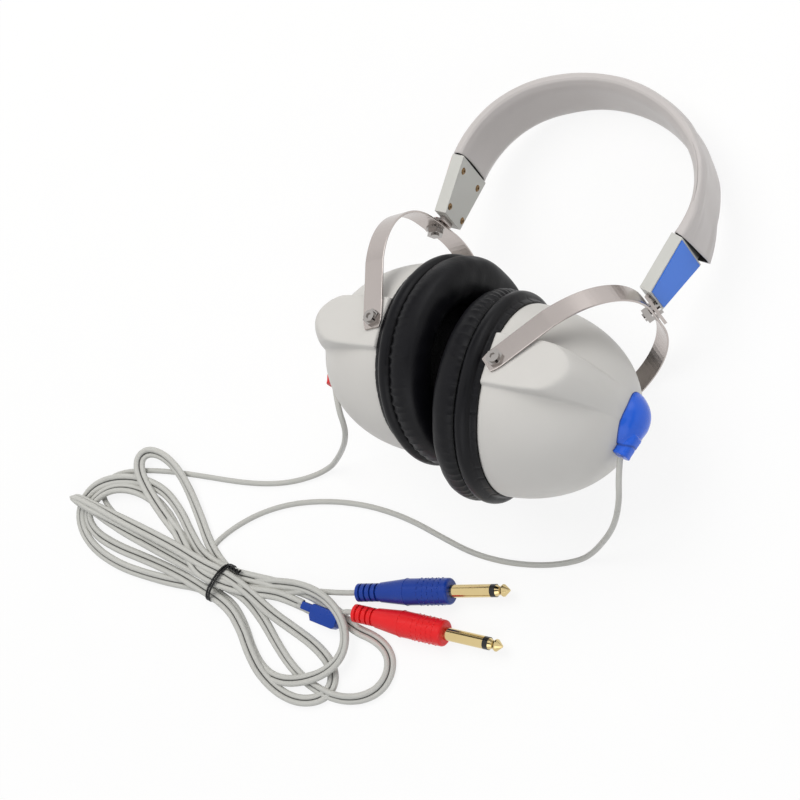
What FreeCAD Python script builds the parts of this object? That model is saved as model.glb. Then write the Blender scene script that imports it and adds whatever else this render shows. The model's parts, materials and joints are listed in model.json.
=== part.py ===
import FreeCAD, Part
import math
import os
import Sketcher
from FreeCAD import Placement, Rotation, Vector

# Audiometric headset: two circumaural cups on spring-steel yokes, a sheathed
# sprung band with a slider box at each end, and a bundled lead with two plugs.
# It is modelled first in the wearer's frame (X towards the wearer's left ear,
# Y up, Z forwards) and then laid on its back on the floor, Z = 0.

DIMENSIONS = {
    # sheathed spring band
    "band_spread": (17.4, "half span of the band at the boxes beyond the cups' radius"),
    "band_rise": (59.3, "height of the crown over the slider boxes"),
    "band_lean": (7.4, "degrees that each box leans outwards at its top"),
    "crown_angle": (35.0, "degrees of the crown arc on each side"),
    "sheath_width": (30.0, "sheath, front to back"),
    "sheath_thick": (7.7, "sheath, inside to outside"),
    "sheath_wall": (1.5, "wall of the sheath"),
    "sheath_edge": (3.3, "radius of the rolled long edges"),
    "spring_width": (21.0, "steel band strip"),
    "spring_thick": (1.0, "steel band strip"),
    "spring_shift": (1.6, "strip's middle outside the sheath's middle"),
    "spring_tail": (9.2, "strip inside each slider box"),
    "padding_width": (25.0, "foam strip under the steel"),
    "padding_gap": (0.1, "clearance of the foam all round"),
    "padding_setback": (7.0, "foam short of each mouth of the sheath"),
    # slider boxes
    "box_gap": (0.9, "sheath mouth to box"),
    "box_length": (28.1, "along the slide"),
    "box_top": (28.5, "width at the band"),
    "box_bottom": (18.6, "width at the yoke"),
    "box_thick": (6.1, "inside to outside"),
    "box_wall": (0.9, "sheet wall"),
    "label_thick": (0.5, "colour plate of each box"),
    "label_margin": (0.9, "bare edge round the colour plate"),
    "eyelet_radius": (1.0, "rivet shank"),
    "eyelet_bore": (0.6, "rivet bore"),
    "eyelet_flange": (1.75, "rivet rolled edge"),
    "eyelet_top_span": (18.0, "upper pair of rivets"),
    "eyelet_low_span": (15.4, "lower pair of rivets"),
    "eyelet_top_drop": (5.6, "upper pair below the box top"),
    "eyelet_low_drop": (24.0, "lower pair below the box top"),
    # slide bars
    "bar_width": (9.6, "slide bar"),
    "bar_thick": (1.5, "slide bar and its foot"),
    "bar_shift": (0.15, "bar's middle outside the box's middle"),
    "bar_engage": (26.0, "bar inside the box when pushed in"),
    "bar_stop": (3.0, "wider stop at the bar's inner end"),
    "stop_width": (12.4, "width over the stop"),
    "foot_reach": (6.4, "foot beyond the swivel hole"),
    # swivels
    "swivel_out": (4.5, "swivel centre outside the box's middle"),
    "swivel_drop": (5.2, "swivel centre below the box"),
    "swivel_tilt": (21.5, "degrees between swivel and slide"),
    "screw_radius": (2.0, "swivel and pivot screws"),
    "screw_fit": (0.06, "running clearance round the screws"),
    "washer_radius": (4.3, "swivel washers"),
    "washer_thick": (0.5, "swivel washers"),
    "nut_flats": (7.0, "across flats of the nuts"),
    "swivel_nut": (2.8, "thickness of the swivel nut"),
    "head_radius": (3.3, "heads of the swivel screws"),
    "head_height": (1.6, "heads of the swivel screws"),
    "side_gap": (0.05, "face to face between moving pieces"),
    # yokes
    "yoke_gap": (2.3, "middle of the strip outside the shell's radius"),
    "yoke_drop": (66.9, "swivel to pivot"),
    "yoke_flat": (8.5, "half of the strip that stays flat under the screw"),
    "yoke_thick": (1.0, "yoke strip"),
    "yoke_width": (9.8, "yoke strip"),
    "foot_below": (6.2, "strip beyond the pivot hole"),
    "foot_round": (2.6, "radius of the foot's corners"),
    # pivots
    "spacer_thick": (0.5, "washer between yoke and cup"),
    "spacer_radius": (3.9, "washer between yoke and cup"),
    "pivot_nut": (1.6, "thickness of the lock nut"),
    "cap_radius": (2.8, "head of the pivot screw"),
    "cap_height": (1.3, "head of the pivot screw"),
    "socket_radius": (1.3, "hex socket of the pivot screw"),
    "insert_radius": (3.2, "brass insert in the lobe"),
    "insert_length": (3.2, "brass insert in the lobe"),
    # cups
    "shell_radius": (44.5, "outside of the rim"),
    "shell_depth": (56.0, "rim to the top of the dome"),
    "shell_wall": (2.2, "moulded wall"),
    "rim_inset": (4.4, "rim plane inside the pivot axis"),
    "pivot_rise": (1.1, "pivot axis above the middle of the cup"),
    "lip_out": (0.8, "rim bead over the shell"),
    "lip_height": (1.3, "rim bead"),
    "lobe_top": (10.0, "lobe above the pivot at the rim"),
    "lobe_bottom": (15.0, "lobe below the pivot at the rim"),
    "lobe_tip": (3.0, "half height of the lobe at the dome's top"),
    "lobe_swell": (18.5, "reach of the lobe's crown beyond the shell's radius"),
    "lobe_round": (24.0, "half height of the lobe's crown"),
    "lobe_middle": (2.6, "lobe's crown below the pivot"),
    "lobe_sunk": (0.3, "lobe's crown below the dome's top"),
    "baffle_thick": (2.4, "plate that closes the shell"),
    "baffle_fit": (0.12, "baffle inside the shell"),
    "ring_over": (4.6, "roll of the cushion's base over the shell's radius"),
    "ring_band": (19.1, "width of the cushion's base"),
    "ring_thick": (10.2, "cushion's base"),
    "ring_edge": (2.9, "rounded edges of the base's roll"),
    "seat_over": (1.4, "seat of the cushion's base over the shell's radius"),
    "seat_height": (3.2, "seat of the cushion's base, beside the yoke's feet"),
    "pillow_over": (3.7, "cushion over the shell's radius"),
    "pillow_band": (22.2, "width of the cushion"),
    "pillow_thick": (10.4, "cushion"),
    "pillow_edge": (6.5, "rounded edges of the cushion's face"),
    "pillow_back": (3.8, "rounded back edge of the cushion"),
    "driver_bore": (19.6, "opening of the baffle"),
    "driver_flange": (22.5, "rim of the driver"),
    "driver_neck": (1.6, "thickness of the driver's rim"),
    "driver_depth": (6.0, "basket behind the rim"),
    "driver_back": (15.0, "radius of the basket's back"),
    "magnet_radius": (12.0, "driver magnet"),
    "magnet_depth": (7.5, "driver magnet"),
    "diaphragm_thick": (0.6, "domed diaphragm"),
    "grille_radius": (24.0, "driver grille"),
    "grille_thick": (1.0, "driver grille"),
    "grille_hole": (2.2, "holes of the grille"),
    "grille_pitch": (7.5, "ring of holes"),
    "screen_thick": (3.0, "acoustic foam over the grille"),
    "screen_fit": (0.3, "screen foam inside the base ring"),
    "liner_outer": (34.0, "foam liner of the shell"),
    "liner_inner": (16.5, "foam liner of the shell"),
    "liner_depth": (17.0, "foam liner of the shell"),
    # cord boots
    "boot_tall": (15.0, "half height of the boot"),
    "boot_wide": (12.0, "half width of the boot"),
    "boot_proud": (6.8, "boot above the dome"),
    "boot_drop": (1.5, "middle of the boot below the dome's top"),
    "collar_radius": (3.6, "cord collar of the boot"),
    "collar_drop": (19.0, "end of the collar below the dome's top"),
    "collar_length": (14.0, "cord collar of the boot"),
    "collar_flare": (2.2, "collar's root over its end"),
    "boot_sunk": (6.0, "middle of the boot inside the dome's top"),
    "collar_in": (1.5, "middle of the collar below the dome's top plane"),
    "collar_tilt": (12.0, "degrees that the collar leans inwards"),
    "stem_radius": (3.0, "boot's stem through the shell"),
    # cords and plugs
    "lead_radius": (1.4, "each single lead"),
    "floor_gap": (0.05, "cords above the floor"),
    "bundle_height": (9.5, "bundle of the flat twin cord"),
    "tie_wire": (1.3, "twist tie round the bundle"),
    "tie_end": (12.0, "twisted end of the tie"),
    "plug_relief": (13.0, "ribbed strain relief of each plug"),
    "relief_radius": (4.5, "strain relief"),
    "relief_groove": (1.0, "depth and width of the relief's grooves"),
    "grip_length": (38.8, "moulded grip of each plug"),
    "grip_neck": (4.9, "radius of the grip at the relief"),
    "grip_radius": (6.5, "radius of the grip"),
    "grip_taper": (14.5, "tapered part of the grip"),
    "grip_edge": (1.4, "rounded end of the grip"),
    "sleeve_radius": (3.175, "quarter-inch plug"),
    "sleeve_length": (21.7, "sleeve contact"),
    "insulator_length": (2.7, "insulating ring"),
    "tip_length": (7.1, "tip contact"),
    "tip_neck": (2.0, "waist of the tip contact"),
    "clip_length": (21.0, "cord clip"),
    "clip_width": (9.0, "cord clip"),
    "clip_height": (6.0, "cord clip"),
    "clip_slot": (1.3, "lead-in slot of the cord clip"),
    # posture at rest
    "yaw_left": (-10.9, "left yoke in the picture about its swivel"),
    "yaw_right": (0.0, "right yoke in the picture about its swivel"),
    "tilt_left": (17.0, "left cup about its pivots"),
    "tilt_right": (41.0, "right cup about its pivots"),
    "slide_out": (0.0, "how far both bars are drawn out"),
}

os.makedirs("parts", exist_ok=True)
doc = FreeCAD.newDocument("audiometer_headset")
sheet = doc.addObject("Spreadsheet::Sheet", "dims")
for row, (alias, (value, meaning)) in enumerate(DIMENSIONS.items(), start=1):
    sheet.set(f"A{row}", alias)
    sheet.set(f"B{row}", str(value))
    sheet.set(f"C{row}", meaning)
    sheet.setAlias(f"B{row}", alias)
doc.recompute()


class Size:
    """A length: its value now, and the expression that ties it to the sheet."""

    def __init__(self, value, text):
        self.value = float(value)
        self.text = text

    def joined(self, other, sign, value, swap=False):
        other = as_size(other)
        first, last = (other, self) if swap else (self, other)
        return Size(value, f"({first.text} {sign} {last.text})")

    def __add__(self, other):
        return self.joined(other, "+", self.value + as_size(other).value)

    def __radd__(self, other):
        return self + other

    def __sub__(self, other):
        return self.joined(other, "-", self.value - as_size(other).value)

    def __rsub__(self, other):
        return self.joined(other, "-", as_size(other).value - self.value, swap=True)

    def __mul__(self, other):
        return self.joined(other, "*", self.value * as_size(other).value)

    def __rmul__(self, other):
        return self * other

    def __truediv__(self, other):
        return self.joined(other, "/", self.value / as_size(other).value)

    def __neg__(self):
        return Size(-self.value, f"(0 - {self.text})")

    def __float__(self):
        return self.value


def as_size(x):
    return x if isinstance(x, Size) else Size(x, repr(float(x)))


class Sheet:
    """Reads every cell of the sheet as a Size by its alias."""

    def __getattr__(self, alias):
        return Size(sheet.get(alias), f"dims.{alias}")


d = Sheet()
band_half = d.shell_radius + d.band_spread
yoke_half = d.shell_radius + d.yoke_gap
yoke_corner = yoke_half - d.yoke_flat
ring_radius = d.shell_radius + d.ring_over
ring_bore = ring_radius - d.ring_band
seat_radius = d.shell_radius + d.seat_over
pillow_radius = d.shell_radius + d.pillow_over
pillow_bore = pillow_radius - d.pillow_band
parts = {}  # node name -> the object that is exported


def rad(size):
    return math.radians(float(size))


# ---------------------------------------------------------------- frames


def frame(origin, out, up):
    """Local Z points out, local X points up, local Y completes the frame."""
    return Placement(origin, Rotation(up, out.cross(up), out, "ZXY"))


def turned(place, axis, degrees):
    return place * Placement(Vector(), Rotation(axis, degrees))


def shifted(place, x=0.0, y=0.0, z=0.0):
    return place * Placement(Vector(float(x), float(y), float(z)), Rotation())


LOCAL_X, LOCAL_Y, LOCAL_Z = Vector(1, 0, 0), Vector(0, 1, 0), Vector(0, 0, 1)
ALONG_Y = Rotation(LOCAL_X, -90)  # turns a primitive's own Z onto +Y
ALONG_X = Rotation(LOCAL_Y, 90)  # turns a primitive's own Z onto +X
SIDES = {"left": -1, "right": 1}  # as the front view shows them


def box_frame(side):
    """At the band's end, middle of the box: Z outwards, X up along the slide."""
    s, lean = SIDES[side], rad(d.band_lean)
    up = Vector(s * math.sin(lean), math.cos(lean), 0)
    out = Vector(s * math.cos(lean), -math.sin(lean), 0)
    return frame(Vector(s * float(band_half), 0, 0), out, up)


def bar_frame(side):
    return shifted(box_frame(side), x=-d.slide_out)


def swivel_frame(side):
    """At the middle of the yoke strip under the screw, X along the swivel."""
    below = d.box_gap + d.box_length + d.swivel_drop
    at = shifted(bar_frame(side), x=-below, z=d.swivel_out)
    return turned(at, LOCAL_Y, -float(d.swivel_tilt))


def yoke_frame(side):
    yaw = {"left": d.yaw_left, "right": d.yaw_right}[side]
    return turned(swivel_frame(side), LOCAL_X, -SIDES[side] * float(yaw))


def cup_frame(side):
    """On the pivot axis, which is local Y; Z points out through the dome."""
    tilt = {"left": d.tilt_left, "right": d.tilt_right}[side]
    at = shifted(yoke_frame(side), x=-d.yoke_drop)
    return turned(at, LOCAL_Y, float(tilt))


def dome_frame(side):
    """Middle of the rim plane, Z towards the top of the dome."""
    return shifted(cup_frame(side), x=-d.pivot_rise, z=-d.rim_inset)


# ---------------------------------------------------------------- features


def bind(obj, **sizes):
    for name, size in sizes.items():
        size = as_size(size)
        setattr(obj, name, size.value)
        obj.setExpression(name, size.text)
    return obj


def place_at(obj, rotation=None, x=0, y=0, z=0):
    """Puts a primitive in its sub-part's frame, each offset tied to the sheet."""
    offsets = {"x": as_size(x), "y": as_size(y), "z": as_size(z)}
    base = Vector(*(o.value for o in offsets.values()))
    obj.Placement = Placement(base, rotation or Rotation())
    for axis, offset in offsets.items():
        obj.setExpression(f"Placement.Base.{axis}", offset.text)
    return obj


def cylinder(name, radius, height, **at):
    obj = doc.addObject("Part::Cylinder", name)
    return place_at(bind(obj, Radius=radius, Height=height), **at)


def cone(name, bottom, top, height, **at):
    obj = doc.addObject("Part::Cone", name)
    return place_at(bind(obj, Radius1=bottom, Radius2=top, Height=height), **at)


def block(name, length, width, height, **at):
    obj = doc.addObject("Part::Box", name)
    return place_at(bind(obj, Length=length, Width=width, Height=height), **at)


def hexagon(name, flats, height, **at):
    obj = doc.addObject("Part::Prism", name)
    obj.Polygon = 6
    return place_at(bind(obj, Circumradius=flats / math.sqrt(3), Height=height), **at)


def ellipsoid(name, along_x, along_y, along_z, **at):
    obj = doc.addObject("Part::Ellipsoid", name)
    bind(obj, Radius1=along_z, Radius2=along_x, Radius3=along_y)
    obj.Angle1 = -90
    obj.Angle2 = 90
    return place_at(obj, **at)


def cut(name, base, *tools):
    for n, tool in enumerate(tools, start=1):
        obj = doc.addObject("Part::Cut", f"{name}_{n}" if n < len(tools) else name)
        obj.Base, obj.Tool = base, tool
        base = obj
    return base


def fuse(name, *shapes):
    obj = doc.addObject("Part::MultiFuse", name)
    obj.Shapes = list(shapes)
    return obj


def common(name, first, second):
    obj = doc.addObject("Part::Common", name)
    obj.Base, obj.Tool = first, second
    return obj


def group(name, *links):
    obj = doc.addObject("Part::Compound", name)
    obj.Links = list(links)
    return obj


def solid(name, shape):
    obj = doc.addObject("Part::Feature", name)
    obj.Shape = shape
    return obj


def keep(node, obj, place):
    """Names a finished sub-part and puts it where it belongs."""
    obj.Label = node
    obj.Placement = place
    parts[node] = obj
    return obj


def origin_plane(body, role):
    return next(f for f in body.Origin.OriginFeatures if f.Role == role)


def outline(body, name, role, points):
    """A closed sketch of straight lines whose corners are tied to the sheet."""
    sketch = body.newObject("Sketcher::SketchObject", name)
    sketch.AttachmentSupport = [(origin_plane(body, role), "")]
    sketch.MapMode = "FlatFace"
    corners = [(as_size(x), as_size(y)) for x, y in points]
    at = [Vector(x.value, y.value, 0) for x, y in corners]
    for n in range(len(at)):
        sketch.addGeometry(Part.LineSegment(at[n], at[(n + 1) % len(at)]), False)
    for n in range(len(at)):
        following = (n + 1) % len(at)
        sketch.addConstraint(Sketcher.Constraint("Coincident", n, 2, following, 1))
    for n, pair in enumerate(corners):
        for kind, axis, size in zip(("DistanceX", "DistanceY"), (-2, -1), pair):
            if size.value == 0:
                sketch.addConstraint(Sketcher.Constraint("PointOnObject", n, 1, axis))
                continue
            rule = sketch.addConstraint(Sketcher.Constraint(kind, n, 1, size.value))
            sketch.setExpression(f"Constraints[{rule}]", size.text)
    return sketch


def edges_where(feature, test):
    return [f"Edge{n}" for n, e in enumerate(feature.Shape.Edges, 1) if test(e)]


def rounded(body, name, radius, test):
    """A fillet on the edges of the body's tip that the test picks."""
    doc.recompute()
    tip = body.Tip
    fillet = body.newObject("PartDesign::Fillet", name)
    fillet.Base = (tip, edges_where(tip, test))
    return bind(fillet, Radius=radius)


def turned_body(name, profile):
    """A body of revolution about local Z from (radius, height) corners."""
    body = doc.addObject("PartDesign::Body", name)
    sketch = outline(body, f"{name}_profile", "XZ_Plane", profile)
    lathe = body.newObject("PartDesign::Revolution", f"{name}_turn")
    lathe.Profile = sketch
    lathe.ReferenceAxis = (sketch, ["V_Axis"])
    lathe.Angle = 360
    return body


def padded_body(name, role, profile, width):
    """A body padded both ways from an origin plane."""
    body = doc.addObject("PartDesign::Body", name)
    sketch = outline(body, f"{name}_outline", role, profile)
    pad = body.newObject("PartDesign::Pad", f"{name}_pad")
    pad.Profile = sketch
    pad.SideType = "Symmetric"
    bind(pad, Length=width)
    return body


def ring_edge(radius, height):
    """Picks a circular edge about local Z by its radius and height."""

    def test(edge):
        c = edge.Curve
        return (
            isinstance(c, Part.Circle)
            and abs(c.Radius - float(radius)) < 1e-3
            and abs(c.Center.z - float(height)) < 1e-3
        )

    return test


# ---------------------------------------------------------------- the band


def arch_arcs(shift):
    """The band's three arcs, each (centre, radius, start, end angle from the crown)."""
    lean, crown = rad(d.band_lean), rad(d.crown_angle)
    half, rise = float(band_half), float(d.band_rise)
    # half = gain sin(crown) + side cos(lean); rise = side (1 + sin(lean)) + gain (1 - cos(crown))
    side = (rise * math.sin(crown) - half * (1 - math.cos(crown))) / (
        (1 + math.sin(lean)) * math.sin(crown) - math.cos(lean) * (1 - math.cos(crown))
    )
    gain = (half - side * math.cos(lean)) / math.sin(crown)
    top = Vector(0, rise - side - gain, 0)
    arcs = [(top, side + gain + shift, -crown, crown)]
    for s in (-1, 1):
        centre = top + Vector(s * gain * math.sin(crown), gain * math.cos(crown), 0)
        low, high = sorted((s * crown, s * (math.pi / 2 + lean)))
        arcs.append((centre, side + shift, low, high))
    return arcs


def arch_strip(inner, outer, width, tail=0.0, setback=0.0):
    """A strip between two offsets of the band's middle line, with straight tails."""
    pieces = []
    for n, (centre, mid, low, high) in enumerate(arch_arcs(0.0)):
        if n:  # the side arcs stop short of the mouths by the setback
            short = setback / mid
            low, high = (low + short, high) if n == 1 else (low, high - short)
        low_y, high_y, half = mid + inner, mid + outer, width / 2
        corners = [(low_y, -half), (high_y, -half), (high_y, half), (low_y, half), (low_y, -half)]
        face = Part.Face(Part.makePolygon([centre + Vector(0, y, z) for y, z in corners]))
        face.rotate(centre, LOCAL_Z, -math.degrees(low))
        pieces.append(face.revolve(centre, LOCAL_Z, -math.degrees(high - low)))
    for side in SIDES if tail else ():
        place = box_frame(side).toMatrix()
        tongue = Part.makeBox(tail, width, outer - inner, Vector(-tail, -width / 2, inner))
        pieces.append(tongue.transformGeometry(place))
    return pieces[0].fuse(pieces[1:]).removeSplitter()


def long_edges(shape):
    """The edges that run along the arch, at the front and back of its strip."""
    return [e for e in shape.Edges if isinstance(e.Curve, Part.Circle)]


def make_band():
    half, wall = float(d.sheath_thick) / 2, float(d.sheath_wall)
    width, edge = float(d.sheath_width), float(d.sheath_edge)
    outer = arch_strip(-half, half, width)
    outer = outer.makeFillet(edge, long_edges(outer))
    hollow = arch_strip(-half + wall, half - wall, width - 2 * wall, tail=1.0)
    sheath = solid("sheath", outer.cut(hollow))
    keep("headband_sheath", sheath, Placement())

    middle, thick = float(d.spring_shift), float(d.spring_thick)
    strip = arch_strip(
        middle - thick / 2,
        middle + thick / 2,
        float(d.spring_width),
        tail=float(d.box_gap + d.spring_tail),
    )
    for side in SIDES:
        for spread in (-1, 1):
            at = shifted(
                box_frame(side),
                x=-d.box_gap - d.eyelet_top_drop,
                y=spread * d.eyelet_top_span / 2,
            )
            drill = Part.makeCylinder(
                float(d.eyelet_radius + 0.05), float(d.box_thick), at.Base, at.multVec(LOCAL_Z) - at.Base
            )
            strip = strip.cut(drill)
    keep("headband_spring", solid("spring", strip), Placement())

    gap = float(d.padding_gap)
    foam = arch_strip(
        -half + wall + gap, middle - thick / 2 - gap, float(d.padding_width), setback=float(d.padding_setback)
    )
    keep("headband_padding", solid("padding", foam), Placement())


# ---------------------------------------------------------------- slider boxes


def tapered_block(name, top_x, length, top_width, bottom_width, thick, z):
    """A flat block with its top edge at top_x, narrowing downwards."""
    obj = doc.addObject("Part::Wedge", name)
    # the wedge tapers along its own Y, which is turned to point down local X
    bind(
        obj,
        Ymin=0,
        Ymax=length,
        Xmin=-top_width / 2,
        Xmax=top_width / 2,
        X2min=-bottom_width / 2,
        X2max=bottom_width / 2,
        Zmin=-thick / 2,
        Zmax=thick / 2,
        Z2min=-thick / 2,
        Z2max=thick / 2,
    )
    return place_at(obj, rotation=Rotation(LOCAL_Z, 90), x=top_x, z=z)


def eyelet_spots():
    """(x, y) of each rivet in the box frame."""
    for drop, span in (
        (d.eyelet_top_drop, d.eyelet_top_span),
        (d.eyelet_low_drop, d.eyelet_low_span),
    ):
        for spread in (-1, 1):
            yield -d.box_gap - drop, spread * span / 2


def make_box(side):
    place, wall = box_frame(side), d.box_wall
    name = f"{side}_box"
    body = tapered_block(f"{name}_body", -d.box_gap, d.box_length, d.box_top, d.box_bottom, d.box_thick, 0)
    # the cavity's side walls follow the taper and it is open at the top
    hollow = tapered_block(
        f"{name}_hollow",
        -d.box_gap,
        d.box_length - wall,
        d.box_top - 2 * wall,
        d.box_bottom - 2 * wall + (d.box_top - d.box_bottom) * wall / d.box_length,
        d.box_thick - 2 * wall,
        0,
    )
    slot = block(
        f"{name}_slot",
        wall + 2,
        d.bar_width + 0.4,
        d.bar_thick + 0.3,
        x=-d.box_gap - d.box_length - 1,
        y=-d.bar_width / 2 - 0.2,
        z=d.bar_shift - d.bar_thick / 2 - 0.15,
    )
    holes = [
        cylinder(f"{name}_hole{n}", d.eyelet_radius + 0.05, d.box_thick + 2, x=x, y=y, z=-d.box_thick / 2 - 1)
        for n, (x, y) in enumerate(eyelet_spots())
    ]
    drilled = cut(f"{name}_housing", body, hollow, slot, fuse(f"{name}_holes", *holes))
    keep(f"{side}_slider_box", drilled, place)

    label = tapered_block(
        f"{name}_plate",
        -d.box_gap - d.label_margin,
        d.box_length - 2 * d.label_margin,
        d.box_top - 2 * d.label_margin,
        d.box_bottom - 2 * d.label_margin,
        d.label_thick,
        (d.box_thick + d.label_thick) / 2,
    )
    keep(f"{side}_colour_plate", group(f"{name}_label", label), place)



def make_eyelets():
    """Tubular rivets: a rolled flange on the inner face, the shank through the box."""
    rivets, low = [], -d.box_thick / 2
    for side in SIDES:
        for n, (x, y) in enumerate(eyelet_spots()):
            name = f"{side}_eyelet{n}"
            shank = cylinder(f"{name}_shank", d.eyelet_radius, d.box_thick + 0.4, x=x, y=y, z=low - 0.4)
            flange = cone(
                f"{name}_flange", d.eyelet_radius + 0.3, d.eyelet_flange, 0.45, x=x, y=y, z=low - 0.45
            )
            bore = cylinder(f"{name}_bore", d.eyelet_bore, d.box_thick + 2, x=x, y=y, z=low - 1)
            rivet = cut(name, fuse(f"{name}_blank", shank, flange), bore)
            rivet.Placement = box_frame(side)
            rivets.append(rivet)
    keep("box_eyelets", group("eyelets", *rivets), Placement())


def make_slide(side):
    """Slide bar with its bent foot; the swivel screw, washers and nut ride on it."""
    name, thick, tilt = f"{side}_bar", d.bar_thick, rad(d.swivel_tilt)
    # the foot's middle plane, above the yoke strip and one washer
    lift = d.yoke_thick / 2 + d.side_gap + d.washer_thick + d.side_gap + thick / 2
    below = d.box_gap + d.box_length + d.swivel_drop
    # bend: where the bar's middle line meets the foot's middle line
    run = (d.swivel_out + lift * math.sin(tilt) - d.bar_shift) / math.cos(tilt)
    bend_x = -below + lift * math.cos(tilt) + run * math.sin(tilt)
    reach = run + d.foot_reach
    half = thick / 2
    turn = math.tan((math.pi / 2 - tilt) / 2)  # half of the bend's turn
    out_x, out_z = -math.sin(tilt), math.cos(tilt)
    up_x, up_z = math.cos(tilt), math.sin(tilt)

    def foot_point(along, off):
        return (bend_x + along * out_x + off * up_x, d.bar_shift + along * out_z + off * up_z)

    top = -d.box_gap - d.box_length + d.bar_engage
    inner_bend = (bend_x + half * turn, d.bar_shift + half)
    outer_bend = (bend_x - half * turn, d.bar_shift - half)
    profile = [
        (top, d.bar_shift - half),
        outer_bend,
        foot_point(reach, -half),
        foot_point(reach, half),
        inner_bend,
        (top, d.bar_shift + half),
    ]
    body = padded_body(name, "XZ_Plane", profile, d.bar_width)
    stop = block(
        f"{name}_stop_tab",
        d.bar_stop,
        d.stop_width,
        thick,
        x=top - d.bar_stop,
        y=-d.stop_width / 2,
        z=d.bar_shift - half,
    )
    centre_x, centre_z = foot_point(run, -half - 1)
    across_foot = Rotation(LOCAL_Z, Vector(up_x, 0, up_z))
    hole = cylinder(
        f"{name}_hole",
        d.screw_radius + d.screw_fit,
        thick + 2,
        rotation=across_foot,
        x=centre_x,
        z=centre_z,
    )
    drilled = cut(f"{name}_drilled", fuse(f"{name}_whole", body, stop), hole)
    keep(f"{side}_slide_bar", drilled, bar_frame(side))

    # swivel hardware in the swivel frame: local X is the swivel axis
    at, radius = swivel_frame(side), d.screw_radius
    foot_top = lift + half
    nut_top = -(d.yoke_thick / 2 + d.side_gap + d.washer_thick)
    shank_low = nut_top - d.swivel_nut - 0.8
    shank = cylinder(f"{side}_swivel_shank", radius, foot_top - shank_low, rotation=ALONG_X, x=shank_low)
    head = cylinder(f"{side}_swivel_head", d.head_radius, d.head_height, rotation=ALONG_X, x=foot_top)
    slot = block(
        f"{side}_swivel_slot",
        1.0,
        2 * d.head_radius + 2,
        0.9,
        x=foot_top + d.head_height - 0.7,
        y=-d.head_radius - 1,
        z=-0.45,
    )
    screw = cut(f"{side}_swivel_bolt", fuse(f"{side}_swivel_blank", shank, head), slot)
    keep(f"{side}_swivel_screw", screw, at)
    washers = []
    for n, low in enumerate((d.yoke_thick / 2 + d.side_gap, nut_top)):
        disc = cylinder(f"{side}_washer{n}", d.washer_radius, d.washer_thick, rotation=ALONG_X, x=low)
        eye = cylinder(f"{side}_eye{n}", radius + 0.02, 2, rotation=ALONG_X, x=low - 0.5)
        washers.append(cut(f"{side}_flat_washer{n}", disc, eye))
    keep(f"{side}_swivel_washers", group(f"{side}_washer_pair", *washers), at)
    nut = hexagon(f"{side}_nut_hex", d.nut_flats, d.swivel_nut, rotation=ALONG_X, x=nut_top - d.swivel_nut)
    thread = cylinder(
        f"{side}_nut_thread", radius + 0.02, d.swivel_nut + 2, rotation=ALONG_X, x=nut_top - d.swivel_nut - 1
    )
    keep(f"{side}_swivel_nut", cut(f"{side}_hex_nut", nut, thread), at)


# ---------------------------------------------------------------- yokes


def make_yoke(side):
    """A bent strip: flat under the screw, two round shoulders, two straight legs."""
    name, half, thick = f"{side}_strip", yoke_half, d.yoke_thick
    low = -d.yoke_drop - d.foot_below
    out_y, in_y = half + thick / 2, half - thick / 2
    profile = [
        (low, -out_y),
        (thick / 2, -out_y),
        (thick / 2, out_y),
        (low, out_y),
        (low, in_y),
        (-thick / 2, in_y),
        (-thick / 2, -in_y),
        (low, -in_y),
    ]
    body = padded_body(name, "XY_Plane", profile, d.yoke_width)

    def shoulder(edge, x, y):
        c = edge.CenterOfMass
        upright = abs(abs(edge.tangentAt(edge.FirstParameter).z) - 1) < 1e-6
        return upright and abs(c.x - float(x)) < 1e-3 and abs(abs(c.y) - float(y)) < 1e-3

    rounded(body, f"{name}_outer", yoke_corner + thick / 2, lambda e: shoulder(e, thick / 2, out_y))
    rounded(body, f"{name}_inner", yoke_corner - thick / 2, lambda e: shoulder(e, -thick / 2, in_y))

    def foot_corner(edge):
        c = edge.CenterOfMass
        return abs(c.x - float(low)) < 1e-3 and abs(abs(c.z) - float(d.yoke_width) / 2) < 1e-3

    rounded(body, f"{name}_feet", d.foot_round, foot_corner)
    bore = d.screw_radius + d.screw_fit
    swivel = cylinder(f"{name}_swivel_hole", bore, 4, rotation=ALONG_X, x=-2)
    pivot = cylinder(
        f"{name}_pivot_hole", bore, 2 * half + 8, rotation=ALONG_Y, x=-d.yoke_drop, y=-half - 4
    )
    keep(f"{side}_yoke", cut(f"{name}_drilled", body, swivel, pivot), yoke_frame(side))


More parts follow.
